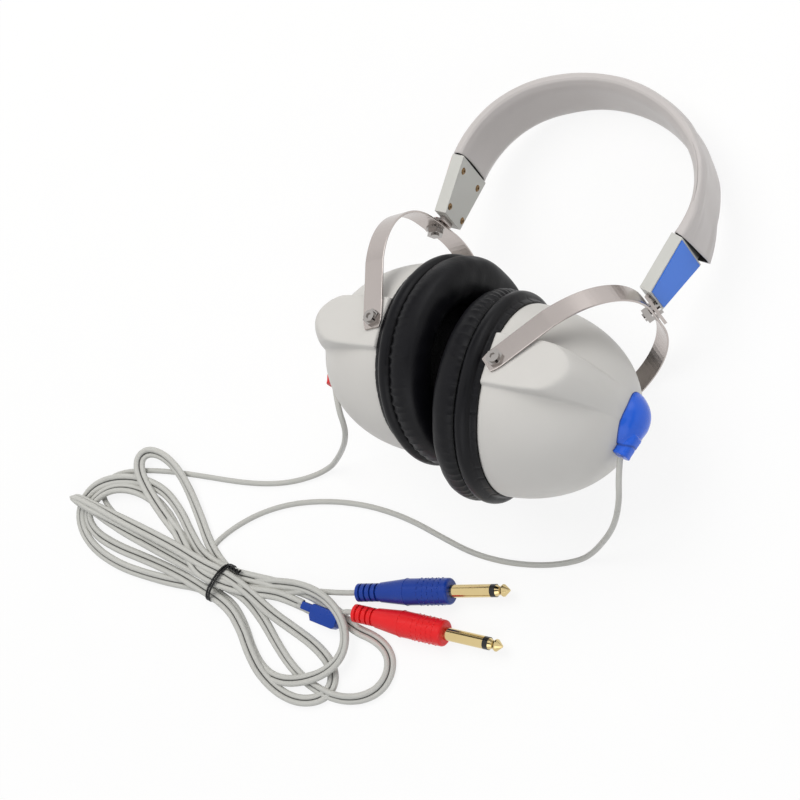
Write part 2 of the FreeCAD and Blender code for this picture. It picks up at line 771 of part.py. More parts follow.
def make_pivots(side):
    """Screws, lock nuts and spacers on the pivot axis, which is local Y."""
    name, place, radius = f"{side}_pivot", cup_frame(side), d.screw_radius
    inner = yoke_half - d.yoke_thick / 2 - d.side_gap  # spacer's outer face
    outer = yoke_half + d.yoke_thick / 2 + d.side_gap  # nut's inner face
    facet = inner - d.spacer_thick
    screws, nuts, spacers, inserts = [], [], [], []
    for n, sign in enumerate((-1, 1)):
        turn = Rotation(LOCAL_X, -90 * sign)
        start = facet - d.insert_length + 0.5
        shank = cylinder(
            f"{name}_shank{n}", radius, outer + d.pivot_nut - start, rotation=turn, y=sign * start
        )
        cap = cylinder(
            f"{name}_cap{n}", d.cap_radius, d.cap_height, rotation=turn, y=sign * (outer + d.pivot_nut)
        )
        key = hexagon(
            f"{name}_key{n}",
            2 * d.socket_radius,
            1.5,
            rotation=turn,
            y=sign * (outer + d.pivot_nut + d.cap_height - 0.8),
        )
        screws.append(cut(f"{name}_screw{n}", fuse(f"{name}_blank{n}", shank, cap), key))
        hexa = hexagon(f"{name}_hex{n}", d.nut_flats, d.pivot_nut, rotation=turn, y=sign * outer)
        thread = cylinder(f"{name}_thread{n}", radius + 0.02, 6, rotation=turn, y=sign * (outer - 2))
        nuts.append(cut(f"{name}_nut{n}", hexa, thread))
        disc = cylinder(f"{name}_disc{n}", d.spacer_radius, d.spacer_thick, rotation=turn, y=sign * facet)
        eye = cylinder(f"{name}_eye{n}", radius + 0.02, 3, rotation=turn, y=sign * (facet - 1))
        spacers.append(cut(f"{name}_spacer{n}", disc, eye))
        sleeve = cylinder(
            f"{name}_sleeve{n}",
            d.insert_radius,
            d.insert_length,
            rotation=turn,
            y=sign * (facet - d.insert_length),
        )
        tap = cylinder(
            f"{name}_tap{n}",
            radius + 0.02,
            d.insert_length + 2,
            rotation=turn,
            y=sign * (facet - d.insert_length - 1),
        )
        inserts.append(cut(f"{name}_insert{n}", sleeve, tap))
    keep(f"{side}_pivot_screws", group(f"{name}_screws", *screws), place)
    keep(f"{side}_pivot_nuts", group(f"{name}_nuts", *nuts), place)
    keep(f"{side}_pivot_spacers", group(f"{name}_spacers", *spacers), place)
    keep(f"{side}_pivot_inserts", group(f"{name}_inserts", *inserts), place)


# ---------------------------------------------------------------- cups


def make_shell(side):
    """Moulded dome with a teardrop lobe front and back that carries the pivots.

    Frame: middle of the rim plane, Z to the top of the dome, pivot axis along Y
    at x = pivot_rise, z = rim_inset.
    """
    name, radius, depth, wall = f"{side}_shell", d.shell_radius, d.shell_depth, d.shell_wall
    facet = yoke_half - d.yoke_thick / 2 - d.side_gap - d.spacer_thick
    dome = ellipsoid(f"{name}_dome", radius, radius, depth)
    crown = ellipsoid(
        f"{name}_crown",
        d.lobe_round,
        radius + d.lobe_swell,
        depth - d.lobe_sunk,
        x=d.pivot_rise - d.lobe_middle,
    )
    # the lobe narrows from the rim to the top of the dome; its flat facets
    # carry the spacers
    taper = doc.addObject("Part::Wedge", f"{name}_taper")
    bind(
        taper,
        Ymin=0,
        Ymax=depth,
        Xmin=d.pivot_rise - d.lobe_bottom,
        Xmax=d.pivot_rise + d.lobe_top,
        X2min=d.pivot_rise - d.lobe_middle - d.lobe_tip,
        X2max=d.pivot_rise - d.lobe_middle + d.lobe_tip,
        Zmin=-facet,
        Zmax=facet,
        Z2min=-facet,
        Z2max=facet,
    )
    place_at(taper, rotation=Rotation(LOCAL_X, 90))
    lobes = common(f"{name}_lobes", crown, taper)
    bead = cylinder(f"{name}_bead", radius + d.lip_out, d.lip_height)
    outer = fuse(f"{name}_outer", dome, lobes, bead)
    inner = ellipsoid(f"{name}_inner", radius - wall, radius - wall, depth - wall)
    below = block(
        f"{name}_below", 4 * radius, 4 * radius, 2 * depth, x=-2 * radius, y=-2 * radius, z=-2 * depth
    )
    bores = [
        cylinder(
            f"{name}_bore{n}",
            d.insert_radius + 0.02,
            d.insert_length + 3,
            rotation=Rotation(LOCAL_X, -90 * sign),
            x=d.pivot_rise,
            y=sign * (facet - d.insert_length),
            z=d.rim_inset,
        )
        for n, sign in enumerate((-1, 1))
    ]
    exit_hole = cylinder(
        f"{name}_exit", d.stem_radius + 0.05, 2 * wall + 4, x=-d.boot_drop, z=depth - 2 * wall - 2
    )
    hollow = fuse(f"{name}_hollow", inner, below, exit_hole, *bores)
    keep(f"{side}_cup_shell", cut(f"{name}_moulding", outer, hollow), dome_frame(side))
    return outer


def make_boot(side, shell_outside):
    """Cord boot seated on the dome: a teardrop cap with a collar for the lead."""
    name, depth = f"{side}_boot", d.shell_depth
    cap = ellipsoid(
        f"{name}_cap",
        d.boot_tall,
        d.boot_wide,
        d.boot_proud + d.boot_sunk,
        x=-d.boot_drop,
        z=depth - d.boot_sunk,
    )
    lean = rad(d.collar_tilt)
    collar = cone(
        f"{name}_collar",
        d.collar_radius + d.collar_flare,
        d.collar_radius,
        d.collar_length,
        rotation=Rotation(LOCAL_Y, -90 - float(d.collar_tilt)),
        x=-d.collar_drop + d.collar_length * math.cos(lean),
        z=depth - d.collar_in + d.collar_length * math.sin(lean),
    )
    low = depth - d.shell_wall - 2
    stem = cylinder(f"{name}_stem", d.stem_radius, d.shell_wall + 5, x=-d.boot_drop, z=low)
    seated = cut(f"{name}_cap_cut", fuse(f"{name}_blank", cap, collar), shell_outside)
    shaped = fuse(f"{name}_moulding", seated, stem)
    keep(f"{side}_cord_boot", shaped, dome_frame(side))


def make_baffle(side):
    """Plate in the mouth of the shell, with the opening for the driver."""
    edge = d.shell_radius - d.shell_wall - d.baffle_fit
    # the shell narrows towards the dome, so the plate's back edge is drawn in
    profile = [
        (d.driver_bore, 0),
        (edge, 0),
        (edge - 0.15, d.baffle_thick),
        (d.driver_bore, d.baffle_thick),
    ]
    keep(f"{side}_baffle", turned_body(f"{side}_plate", profile), dome_frame(side))


def make_cushion(side):
    """Base on the shell's rim, a narrow seat and then a roll, and the cushion on it."""
    ring = turned_body(
        f"{side}_ring",
        [
            (ring_bore, 0),
            (seat_radius, 0),
            (seat_radius, -d.seat_height),
            (ring_radius, -d.seat_height),
            (ring_radius, -d.ring_thick),
            (ring_bore, -d.ring_thick),
        ],
    )
    rounded(ring, f"{side}_roll_back", d.ring_edge, ring_edge(ring_radius, -d.seat_height))
    rounded(ring, f"{side}_roll_front", d.ring_edge, ring_edge(ring_radius, -d.ring_thick))
    keep(f"{side}_cushion_ring", ring, dome_frame(side))

    top, low = -d.ring_thick, -d.ring_thick - d.pillow_thick
    pillow = turned_body(
        f"{side}_pillow",
        [
            (pillow_bore, top),
            (pillow_radius, top),
            (pillow_radius, low),
            (pillow_bore, low),
        ],
    )
    rounded(pillow, f"{side}_pillow_face", d.pillow_edge, ring_edge(pillow_radius, low))
    rounded(pillow, f"{side}_pillow_rear", d.pillow_back, ring_edge(pillow_radius, top))
    rounded(pillow, f"{side}_pillow_hole", d.pillow_edge, ring_edge(pillow_bore, low))
    keep(f"{side}_ear_cushion", pillow, dome_frame(side))


def make_driver(side):
    """Receiver: rim and basket, magnet, diaphragm, and the grille in front."""
    place, back = dome_frame(side), d.baffle_thick
    neck, depth = d.driver_neck, d.driver_depth
    basket = turned_body(
        f"{side}_basket",
        [
            (d.magnet_radius + 0.5, back + neck + depth - 1),
            (d.driver_back, back + neck + depth - 1),
            (d.driver_bore + 0.6, back),
            (d.driver_flange, back),
            (d.driver_flange, back + neck),
            (d.driver_bore + 1.2, back + neck),
            (d.driver_back + 0.8, back + neck + depth),
            (d.magnet_radius + 0.5, back + neck + depth),
        ],
    )
    keep(f"{side}_driver_basket", basket, place)
    magnet = turned_body(
        f"{side}_motor",
        [
            (0, back + neck + depth - 3),
            (d.magnet_radius, back + neck + depth - 3),
            (d.magnet_radius, back + neck + depth),
            (d.magnet_radius + 1.5, back + neck + depth),
            (d.magnet_radius + 1.5, back + neck + depth - 3 + d.magnet_depth),
            (0, back + neck + depth - 3 + d.magnet_depth),
        ],
    )
    keep(f"{side}_driver_magnet", magnet, place)
    skin = d.diaphragm_thick
    diaphragm = turned_body(
        f"{side}_cone",
        [
            (0, back + neck),
            (d.driver_bore - 9, back + neck + 1.2),
            (d.driver_bore - 0.2, back - 0.6),
            (d.driver_bore - 0.2, back - 0.6 + skin),
            (d.driver_bore - 9, back + neck + 1.2 + skin),
            (0, back + neck + skin),
        ],
    )
    keep(f"{side}_diaphragm", diaphragm, place)

    thick = d.grille_thick
    disc = cylinder(f"{side}_grille_disc", d.grille_radius, thick, z=-thick)
    holes = [cylinder(f"{side}_grille_h0", d.grille_hole, thick + 2, z=-thick - 1)]
    for n in range(6):
        angle = n * math.pi / 3
        holes.append(
            cylinder(
                f"{side}_grille_h{n + 1}",
                d.grille_hole,
                thick + 2,
                x=d.grille_pitch * math.cos(angle),
                y=d.grille_pitch * math.sin(angle),
                z=-thick - 1,
            )
        )
    grille = cut(f"{side}_grille_plate", disc, fuse(f"{side}_grille_holes", *holes))
    keep(f"{side}_grille", grille, place)
    screen = turned_body(
        f"{side}_screen",
        [
            (0, -thick),
            (ring_bore - d.screen_fit, -thick),
            (ring_bore - d.screen_fit, -thick - d.screen_thick),
            (0, -thick - d.screen_thick),
        ],
    )
    keep(f"{side}_screen_foam", screen, place)
    low = back + neck
    liner = turned_body(
        f"{side}_liner",
        [
            (d.driver_flange + 0.3, back),
            (d.liner_outer, back),
            (d.liner_outer - 2, low + d.liner_depth),
            (d.liner_inner, low + d.liner_depth),
            (d.liner_inner, low + depth + 0.3),
            (d.driver_flange + 0.3, low + 0.3),
        ],
    )
    keep(f"{side}_shell_foam", liner, place)


# ---------------------------------------------------------------- cords and plugs

# Each route is a list of (x, y, z) points on the floor, chosen by hand; the
# first run of a lead carries on from the boot's collar.
FIRST_RUN = 11.0
LEAD_ROUTES = {
    "left": [
        (-69.5, -101.0, 47.5),
        (-72.0, -107.0, 37.0),
        (-76.5, -111.5, 24.0),
        (-82.0, -116.0, 11.5),
        (-89.5, -122.0, 3.2),
        (-99.0, -130.5, 1.45),
        (-111.0, -138.8, 1.45),
        (-125.5, -145.3, 1.45),
        (-142.0, -150.3, 1.45),
        (-160.0, -154.5, 1.45),
        (-180.0, -162.0, 1.45),
    ],
    "right": [
        (81.8, -79.0, 54.5),
        (80.0, -87.5, 45.0),
        (76.0, -94.5, 33.0),
        (70.5, -101.0, 20.5),
        (64.0, -107.5, 9.5),
        (55.5, -114.0, 3.0),
        (44.5, -120.5, 1.45),
        (31.5, -126.0, 1.45),
        (16.0, -130.3, 1.45),
        (-1.0, -132.5, 1.45),
        (-19.0, -131.6, 1.45),
        (-38.0, -130.4, 1.45),
        (-57.0, -131.7, 1.45),
        (-75.0, -135.5, 1.45),
        (-92.0, -141.5, 1.45),
        (-108.0, -149.5, 1.45),
        (-122.0, -160.0, 1.45),
        (-133.0, -172.0, 1.45),
        (-139.0, -182.0, 1.45),
    ],
}
RELIEF_GROOVES = (0.13, 0.36, 0.6, 0.83)  # places along the relief
# the cord end of each plug on the floor, and the bearing of its tip
PLUGS = {"blue": (-47.4, -172.9, 23.1), "red": (-45.0, -182.6, 11.6)}
TAIL_ROUTES = {
    "blue": [(-88.5, -190.0, 3.2), (-78.0, -184.0, 3.6), (-67.0, -180.3, 4.9)],
    "red": [(-63.0, -193.5, 4.4), (-57.5, -188.0, 5.6)],
}
TAIL_LAST_RUNS = {"blue": 9.0, "red": 7.0}
BUNDLE_OUTLINE = [
    (-128.0, -190.5),
    (-140.0, -180.0),
    (-158.0, -168.5),
    (-180.0, -160.0),
    (-199.0, -157.5),
    (-216.0, -172.0),
    (-235.0, -193.0),
    (-221.0, -208.0),
    (-200.0, -215.0),
    (-165.0, -213.5),
    (-132.0, -209.0),
    (-108.0, -214.5),
    (-88.0, -227.0),
    (-60.0, -234.0),
    (-34.0, -223.5),
    (-18.0, -208.0),
    (-20.0, -194.5),
    (-40.0, -191.0),
    (-62.0, -188.5),
    (-86.0, -184.5),
    (-112.0, -187.5),
]
TIE_AT = (-130.4, -209.0, -190.3)  # x of the tie, and y of its two sides
CLIP_AT = (-66.0, -194.4, -5.0)  # middle of the clip, and its bearing


def rounded_path(name, points):
    """Straight runs joined by tangent arcs, each as large as its two runs allow."""
    edges, radii, start = [], [], points[0]
    for before, corner, after in zip(points, points[1:], points[2:]):
        arriving = (corner - before).normalize()
        leaving = (after - corner).normalize()
        half_turn = arriving.getAngle(leaving) / 2
        trim = 0.45 * min((corner - before).Length, (after - corner).Length)
        radius = trim / math.tan(half_turn)
        inwards = (leaving - arriving).normalize()
        middle = corner + inwards * (radius / math.cos(half_turn) - radius)
        arc_start, arc_end = corner - arriving * trim, corner + leaving * trim
        edges.append(Part.LineSegment(start, arc_start).toShape())
        edges.append(Part.Arc(arc_start, middle, arc_end).toShape())
        start = arc_end
        radii.append(round(radius, 1))
    edges.append(Part.LineSegment(start, points[-1]).toShape())
    print(f"{name}: bend radii {radii}")
    return Part.Wire(edges)


def tube(name, points, radius):
    path = rounded_path(name, points)
    ring = Part.makeCircle(radius, points[0], points[1] - points[0])
    swept = path.makePipeShell([Part.Wire(ring)], True, False)
    expected = math.pi * radius**2 * path.Length
    print(f"{name}: length {path.Length:.0f} mm, volume {swept.Volume / expected:.4f} of expected")
    return swept


def collar_end(side):
    """Where the lead leaves the boot, and its direction there."""
    tilt = rad(d.collar_tilt)
    place = posture * dome_frame(side)
    at = place.multVec(Vector(-float(d.collar_drop), 0, float(d.shell_depth - d.collar_in)))
    return at, place.Rotation.multVec(Vector(-math.cos(tilt), 0, -math.sin(tilt)))


def make_lead(side):
    start, along = collar_end(side)
    points = [start, start + along * FIRST_RUN] + [Vector(*p) for p in LEAD_ROUTES[side]]
    node = f"{side}_lead"
    keep(node, solid(f"{node}_tube", tube(node, points, float(d.lead_radius))), Placement())


def plug_frame(colour):
    """At the cord end of the plug, Z along it; the grip lies on the floor."""
    x, y, bearing = PLUGS[colour]
    turn = math.radians(bearing)
    along = Vector(math.cos(turn), math.sin(turn), 0)
    height = float(d.grip_radius + d.floor_gap)
    return Placement(Vector(x, y, height), Rotation(Vector(0, 0, 1), along))


def make_grip(colour):
    relief, groove, radius = d.plug_relief, d.relief_groove, d.relief_radius
    end = relief + d.grip_length
    profile = [(0, 0), (radius, 0)]
    for share in RELIEF_GROOVES:
        low = relief * share
        profile += [
            (radius, low),
            (radius - groove, low),
            (radius - groove, low + groove),
            (radius, low + groove),
        ]
    profile += [
        (radius, relief),
        (d.grip_neck, relief),
        (d.grip_radius, relief + d.grip_taper),
        (d.grip_radius, end),
        (0, end),
    ]
    grip = turned_body(f"{colour}_grip", profile)
    rounded(grip, f"{colour}_grip_end", d.grip_edge, ring_edge(d.grip_radius, end))
    keep(f"{colour}_plug_grip", grip, plug_frame(colour))


def make_contacts():
    """Sleeve, insulating ring and tip of both plugs."""
    sleeve_end = d.plug_relief + d.grip_length + d.sleeve_length
    ring_end = sleeve_end + d.insulator_length
    tip_end = ring_end + d.tip_length
    radius = d.sleeve_radius
    sleeves, rings, tips = [], [], []
    for colour in PLUGS:
        place = plug_frame(colour)
        sleeve = cylinder(
            f"{colour}_sleeve", radius, d.sleeve_length, z=d.plug_relief + d.grip_length
        )
        ring = cylinder(f"{colour}_ring", radius, d.insulator_length, z=sleeve_end)
        tip = turned_body(
            f"{colour}_tip",
            [
                (0, ring_end),
                (radius - 0.3, ring_end),
                (d.tip_neck, ring_end + 0.26 * d.tip_length),
                (radius - 0.1, ring_end + 0.52 * d.tip_length),
                (radius - 0.2, ring_end + 0.6 * d.tip_length),
                (0.5, tip_end),
                (0, tip_end),
            ],
        )
        for pieces, piece in ((sleeves, sleeve), (rings, ring), (tips, tip)):
            holder = group(f"{piece.Name}_at", piece)
            holder.Placement = place
            pieces.append(holder)
    keep("plug_sleeves", group("sleeves", *sleeves), Placement())
    keep("plug_insulators", group("insulators", *rings), Placement())
    keep("plug_tips", group("tips", *tips), Placement())


def make_tail(colour):
    """Single cord from the bundle up to its plug."""
    plug = plug_frame(colour)
    along = plug.Rotation.multVec(LOCAL_Z)
    points = [Vector(*p) for p in TAIL_ROUTES[colour]]
    points += [plug.Base - along * TAIL_LAST_RUNS[colour], plug.Base]
    node = f"{colour}_tail"
    keep(node, solid(f"{node}_tube", tube(node, points, float(d.lead_radius))), Placement())


def make_tie():
    """Twist tie: a wire frame round the bundle's waist with a twisted end."""
    wire, low, top = float(d.tie_wire), float(d.floor_gap), float(d.bundle_height)
    x, y_low, y_high = TIE_AT
    span = y_high - y_low
    corner = Vector(x - wire / 2, y_low - wire, low)
    outer = Part.makeBox(wire, span + 2 * wire, top + wire - low, corner)
    outer = outer.makeFillet(2 * wire, [e for e in outer.Edges if abs(e.tangentAt(0).x) > 0.9])
    corner = Vector(x - 1.5 * wire, y_low, low + wire)
    inner = Part.makeBox(3 * wire, span, top - low - wire, corner)
    twisted = Part.makeCylinder(
        0.6 * wire, float(d.tie_end), Vector(x, y_high - wire, top + wire / 2), LOCAL_X
    )
    return outer.cut(inner).fuse(twisted)


def make_clip():
    """Moulded cord clip: a body with a lead-in slot and a narrower neck."""
    length, width, height = d.clip_length, d.clip_width, d.clip_height
    slot, deep = d.clip_slot, 3 * d.clip_slot
    end = length * 2 / 3
    body = block("clip_body", length, width, height, x=end - length, y=-width / 2)
    neck = block("clip_neck", length / 2, width / 3, height / 2, x=-0.8 * length, y=width / 6)
    blank = fuse("clip_blank", body, neck)
    groove = block("clip_groove", deep, slot, 2 * height, x=end - deep, y=-slot / 2, z=-height / 2)
    x, y, bearing = CLIP_AT
    place = Placement(Vector(x, y, float(d.floor_gap)), Rotation(LOCAL_Z, bearing))
    keep("cord_clip", cut("clip", blank, groove), place)


def make_bundle():
    """The tied bundle of flat twin cord as one closed shape, with its tie."""
    low, top = float(d.floor_gap), float(d.bundle_height)
    curve = Part.BSplineCurve()
    curve.interpolate(Points=[Vector(x, y, low) for x, y in BUNDLE_OUTLINE], PeriodicFlag=True)
    lump = Part.Face(Part.Wire(curve.toShape())).extrude(Vector(0, 0, top - low))
    tie = make_tie()
    keep("twist_tie", solid("tie", tie), Placement())
    doc.recompute()
    clip = parts["cord_clip"].Shape
    soles = [f for f in clip.Faces if abs(f.BoundBox.ZMax - low) < 1e-3]
    seat = soles[0].multiFuse([f for f in soles[1:]]) if len(soles) > 1 else soles[0]
    pocket = seat.extrude(Vector(0, 0, top))
    keep("cable_bundle", solid("bundle", lump.cut(tie).cut(pocket)), Placement())


# ---------------------------------------------------------------- resting plane


def touching_points(nodes):
    """Mesh points of these nodes in the wearer's frame."""
    return [v for n in nodes for v in parts[n].Shape.tessellate(0.3)[0]]


def lowest(points, up):
    return min(points, key=lambda p: p.dot(up))


def lie_down():
    """Lays the headset on its back: each yoke's lowest point and the crown touch."""
    resting = [
        touching_points([f"{side}_pivot_screws", f"{side}_cushion_ring", f"{side}_yoke"])
        for side in SIDES
    ]
    resting.append(touching_points(["headband_sheath"]))
    up = Vector(0, 0, 1)
    for _ in range(6):
        a, b, c = (lowest(points, up) for points in resting)
        up = (b - a).cross(c - a).normalize()
        up = up if up.z > 0 else up * -1
    across = (Vector(1, 0, 0) - up * up.x).normalize()
    down = Placement(Vector(), Rotation(across, up.cross(across), up, "ZXY")).inverse()
    for node in parts.values():
        node.Placement = down * node.Placement
    doc.recompute()
    bounds = FreeCAD.BoundBox()
    for node in parts.values():
        bounds.add(node.Shape.optimalBoundingBox(False))
    centre = bounds.Center
    to_floor = Placement(Vector(-centre.x, -centre.y, -bounds.ZMin), Rotation())
    for node in parts.values():
        node.Placement = to_floor * node.Placement
    return to_floor * down


make_band()
make_eyelets()
for side in SIDES:
    make_box(side)
    make_slide(side)
    make_yoke(side)
    make_pivots(side)
    make_boot(side, make_shell(side))
    make_baffle(side)
    make_cushion(side)
    make_driver(side)
doc.recompute()
posture = lie_down()
for side in SIDES:
    make_lead(side)
for colour in PLUGS:
    make_grip(colour)
    make_tail(colour)
make_contacts()
make_clip()
make_bundle()
doc.recompute()

# ---------------------------------------------------------------- output

for obj in doc.Objects:
    if "Invalid" in obj.State or "Error" in obj.State:
        raise SystemExit(f"{obj.Label} failed: {obj.State}")
for node, obj in parts.items():
    if obj.Shape.isNull() or not obj.Shape.isValid() or not obj.Shape.Solids:
        raise SystemExit(f"{node} has no valid solid")
for node, obj in parts.items():
    obj.Shape.exportStep(f"parts/{node}.step")
print(f"{len(parts)} nodes written; posture {posture}")
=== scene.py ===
import json
import math
import random

import bpy
from mathutils import Matrix, Quaternion, Vector, noise
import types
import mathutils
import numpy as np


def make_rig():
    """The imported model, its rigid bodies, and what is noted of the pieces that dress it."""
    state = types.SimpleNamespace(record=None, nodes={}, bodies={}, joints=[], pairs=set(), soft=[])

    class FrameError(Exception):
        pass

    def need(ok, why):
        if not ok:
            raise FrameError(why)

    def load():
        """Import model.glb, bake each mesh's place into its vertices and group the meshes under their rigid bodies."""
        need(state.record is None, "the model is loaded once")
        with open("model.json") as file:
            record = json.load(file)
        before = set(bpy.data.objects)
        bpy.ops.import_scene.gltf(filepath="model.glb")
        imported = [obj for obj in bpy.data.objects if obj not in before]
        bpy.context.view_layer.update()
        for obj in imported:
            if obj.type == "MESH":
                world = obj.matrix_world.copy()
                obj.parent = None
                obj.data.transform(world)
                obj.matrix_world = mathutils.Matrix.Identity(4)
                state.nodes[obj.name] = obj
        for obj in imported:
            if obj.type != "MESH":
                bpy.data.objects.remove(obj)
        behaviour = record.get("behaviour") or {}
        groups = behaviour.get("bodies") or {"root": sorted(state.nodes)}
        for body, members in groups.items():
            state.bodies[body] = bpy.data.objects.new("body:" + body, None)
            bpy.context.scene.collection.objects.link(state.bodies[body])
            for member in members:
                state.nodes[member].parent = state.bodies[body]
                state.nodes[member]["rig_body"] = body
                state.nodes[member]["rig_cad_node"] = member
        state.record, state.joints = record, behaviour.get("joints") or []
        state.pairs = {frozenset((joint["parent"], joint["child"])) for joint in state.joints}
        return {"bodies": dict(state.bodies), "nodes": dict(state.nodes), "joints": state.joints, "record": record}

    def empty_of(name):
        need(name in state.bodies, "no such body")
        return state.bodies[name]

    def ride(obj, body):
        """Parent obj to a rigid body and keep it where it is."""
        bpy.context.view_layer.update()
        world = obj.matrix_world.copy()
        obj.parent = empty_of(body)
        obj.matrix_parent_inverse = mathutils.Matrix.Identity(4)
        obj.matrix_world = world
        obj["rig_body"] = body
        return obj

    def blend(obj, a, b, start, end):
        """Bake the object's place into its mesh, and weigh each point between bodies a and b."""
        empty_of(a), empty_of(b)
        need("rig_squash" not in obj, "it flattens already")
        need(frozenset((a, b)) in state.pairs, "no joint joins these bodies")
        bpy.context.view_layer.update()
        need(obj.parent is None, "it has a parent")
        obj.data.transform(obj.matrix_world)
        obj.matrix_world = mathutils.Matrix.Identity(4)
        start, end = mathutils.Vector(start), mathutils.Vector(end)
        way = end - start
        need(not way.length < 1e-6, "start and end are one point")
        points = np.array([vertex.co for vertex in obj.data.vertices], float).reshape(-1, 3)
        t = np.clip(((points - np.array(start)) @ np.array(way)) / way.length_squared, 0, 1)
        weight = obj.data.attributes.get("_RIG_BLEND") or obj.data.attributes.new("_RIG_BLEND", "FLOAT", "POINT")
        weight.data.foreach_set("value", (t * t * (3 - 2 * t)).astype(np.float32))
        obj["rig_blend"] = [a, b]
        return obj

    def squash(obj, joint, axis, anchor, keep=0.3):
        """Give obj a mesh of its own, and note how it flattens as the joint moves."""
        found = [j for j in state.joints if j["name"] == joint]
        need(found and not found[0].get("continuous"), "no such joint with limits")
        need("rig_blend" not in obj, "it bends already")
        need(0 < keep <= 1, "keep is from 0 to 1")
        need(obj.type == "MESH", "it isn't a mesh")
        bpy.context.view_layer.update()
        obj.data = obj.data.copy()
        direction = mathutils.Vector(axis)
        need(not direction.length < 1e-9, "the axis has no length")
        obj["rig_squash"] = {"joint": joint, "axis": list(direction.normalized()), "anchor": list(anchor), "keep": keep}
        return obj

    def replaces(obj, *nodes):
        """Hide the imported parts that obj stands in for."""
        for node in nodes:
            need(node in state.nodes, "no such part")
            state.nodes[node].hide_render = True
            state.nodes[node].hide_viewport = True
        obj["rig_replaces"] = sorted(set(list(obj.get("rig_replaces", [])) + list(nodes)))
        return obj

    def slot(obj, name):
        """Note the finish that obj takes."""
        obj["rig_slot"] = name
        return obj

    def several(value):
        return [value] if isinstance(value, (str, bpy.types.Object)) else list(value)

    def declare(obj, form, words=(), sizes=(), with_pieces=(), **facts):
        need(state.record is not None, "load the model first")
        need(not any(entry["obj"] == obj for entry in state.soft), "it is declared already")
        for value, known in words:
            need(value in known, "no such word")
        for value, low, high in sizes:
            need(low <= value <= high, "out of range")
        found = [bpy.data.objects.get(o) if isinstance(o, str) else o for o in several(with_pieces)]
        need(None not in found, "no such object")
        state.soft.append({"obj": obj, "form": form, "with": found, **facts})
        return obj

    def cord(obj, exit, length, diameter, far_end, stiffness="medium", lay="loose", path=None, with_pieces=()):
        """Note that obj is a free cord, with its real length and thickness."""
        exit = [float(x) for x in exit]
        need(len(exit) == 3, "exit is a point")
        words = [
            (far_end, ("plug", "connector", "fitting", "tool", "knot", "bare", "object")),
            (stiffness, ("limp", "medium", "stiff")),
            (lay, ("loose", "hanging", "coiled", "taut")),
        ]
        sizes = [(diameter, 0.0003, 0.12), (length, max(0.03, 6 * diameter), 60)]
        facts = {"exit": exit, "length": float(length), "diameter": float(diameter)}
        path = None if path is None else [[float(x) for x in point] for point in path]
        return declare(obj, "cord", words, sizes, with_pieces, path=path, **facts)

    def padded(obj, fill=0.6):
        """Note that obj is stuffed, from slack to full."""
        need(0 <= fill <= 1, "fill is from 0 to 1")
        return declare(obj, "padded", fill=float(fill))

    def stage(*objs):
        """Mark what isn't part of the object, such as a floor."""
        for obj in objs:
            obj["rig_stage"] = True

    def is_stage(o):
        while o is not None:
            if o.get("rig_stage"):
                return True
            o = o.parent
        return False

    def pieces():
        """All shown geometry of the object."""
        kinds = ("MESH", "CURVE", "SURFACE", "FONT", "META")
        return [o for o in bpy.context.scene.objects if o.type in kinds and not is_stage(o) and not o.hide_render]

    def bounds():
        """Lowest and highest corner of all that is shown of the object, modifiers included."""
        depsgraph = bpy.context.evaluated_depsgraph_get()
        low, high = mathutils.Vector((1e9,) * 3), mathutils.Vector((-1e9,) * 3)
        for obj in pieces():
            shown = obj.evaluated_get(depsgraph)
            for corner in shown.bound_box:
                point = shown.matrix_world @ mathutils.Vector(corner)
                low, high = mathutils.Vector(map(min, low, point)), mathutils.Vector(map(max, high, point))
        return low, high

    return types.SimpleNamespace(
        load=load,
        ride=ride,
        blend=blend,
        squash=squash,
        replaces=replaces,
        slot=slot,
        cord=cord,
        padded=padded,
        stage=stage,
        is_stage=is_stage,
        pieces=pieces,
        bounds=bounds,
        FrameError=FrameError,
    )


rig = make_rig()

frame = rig.load()
cad_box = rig.bounds()

# Audiometric headset lying on its back. Lengths are in millimetres and are
# turned to metres where a mesh is made.
MM = 0.001

# ---------------------------------------------------------------- view and light


def make_camera():
    data = bpy.data.cameras.new("camera")
    data.sensor_width = 36.0
    data.lens = 115.53
    data.clip_end = 20.0
    camera = bpy.data.objects.new("camera", data)
    camera.rotation_mode = "QUATERNION"
    camera.rotation_quaternion = Quaternion((0.943784, 0.024067, 0.271245, 0.1874))
    camera.location = (0.588533, -0.007891, 1.076593)
    bpy.context.scene.collection.objects.link(camera)
    bpy.context.scene.camera = camera


make_camera()


def linear(code):
    """An sRGB hex colour as the linear values that a shader takes."""
    channels = [int(code[n : n + 2], 16) / 255 for n in (1, 3, 5)]
    turned = [c / 12.92 if c <= 0.04045 else ((c + 0.055) / 1.055) ** 2.4 for c in channels]
    return (*turned, 1.0)


def add(tree, kind, inputs=None, **settings):
    """Adds a node; an input is set to a value or linked from a socket."""
    made = tree.nodes.new(kind)
    for name, value in settings.items():
        setattr(made, name, value)
    for name, value in (inputs or {}).items():
        if isinstance(value, bpy.types.NodeSocket):
            tree.links.new(value, made.inputs[name])
        else:
            made.inputs[name].default_value = value
    return made


def lamp(name, place, aim, size, watts, tint, mirrored=True):
    """A round area lamp turned to a point; size is its diameter in metres."""
    data = bpy.data.lights.new(name, "AREA")
    data.shape = "DISK"
    data.size = size
    data.energy = watts
    data.color = linear(tint)[:3]
    holder = bpy.data.objects.new(name, data)
    holder.location = place
    holder.rotation_euler = (Vector(aim) - Vector(place)).to_track_quat("-Z", "Y").to_euler()
    holder.visible_glossy = mirrored
    bpy.context.scene.collection.objects.link(holder)


# half the width of the floor, in metres
FLOOR_REACH = 6.0
# how much of the floor the camera sees as plain white; the rest shows its shadow
FLOOR_GLOW = 0.86
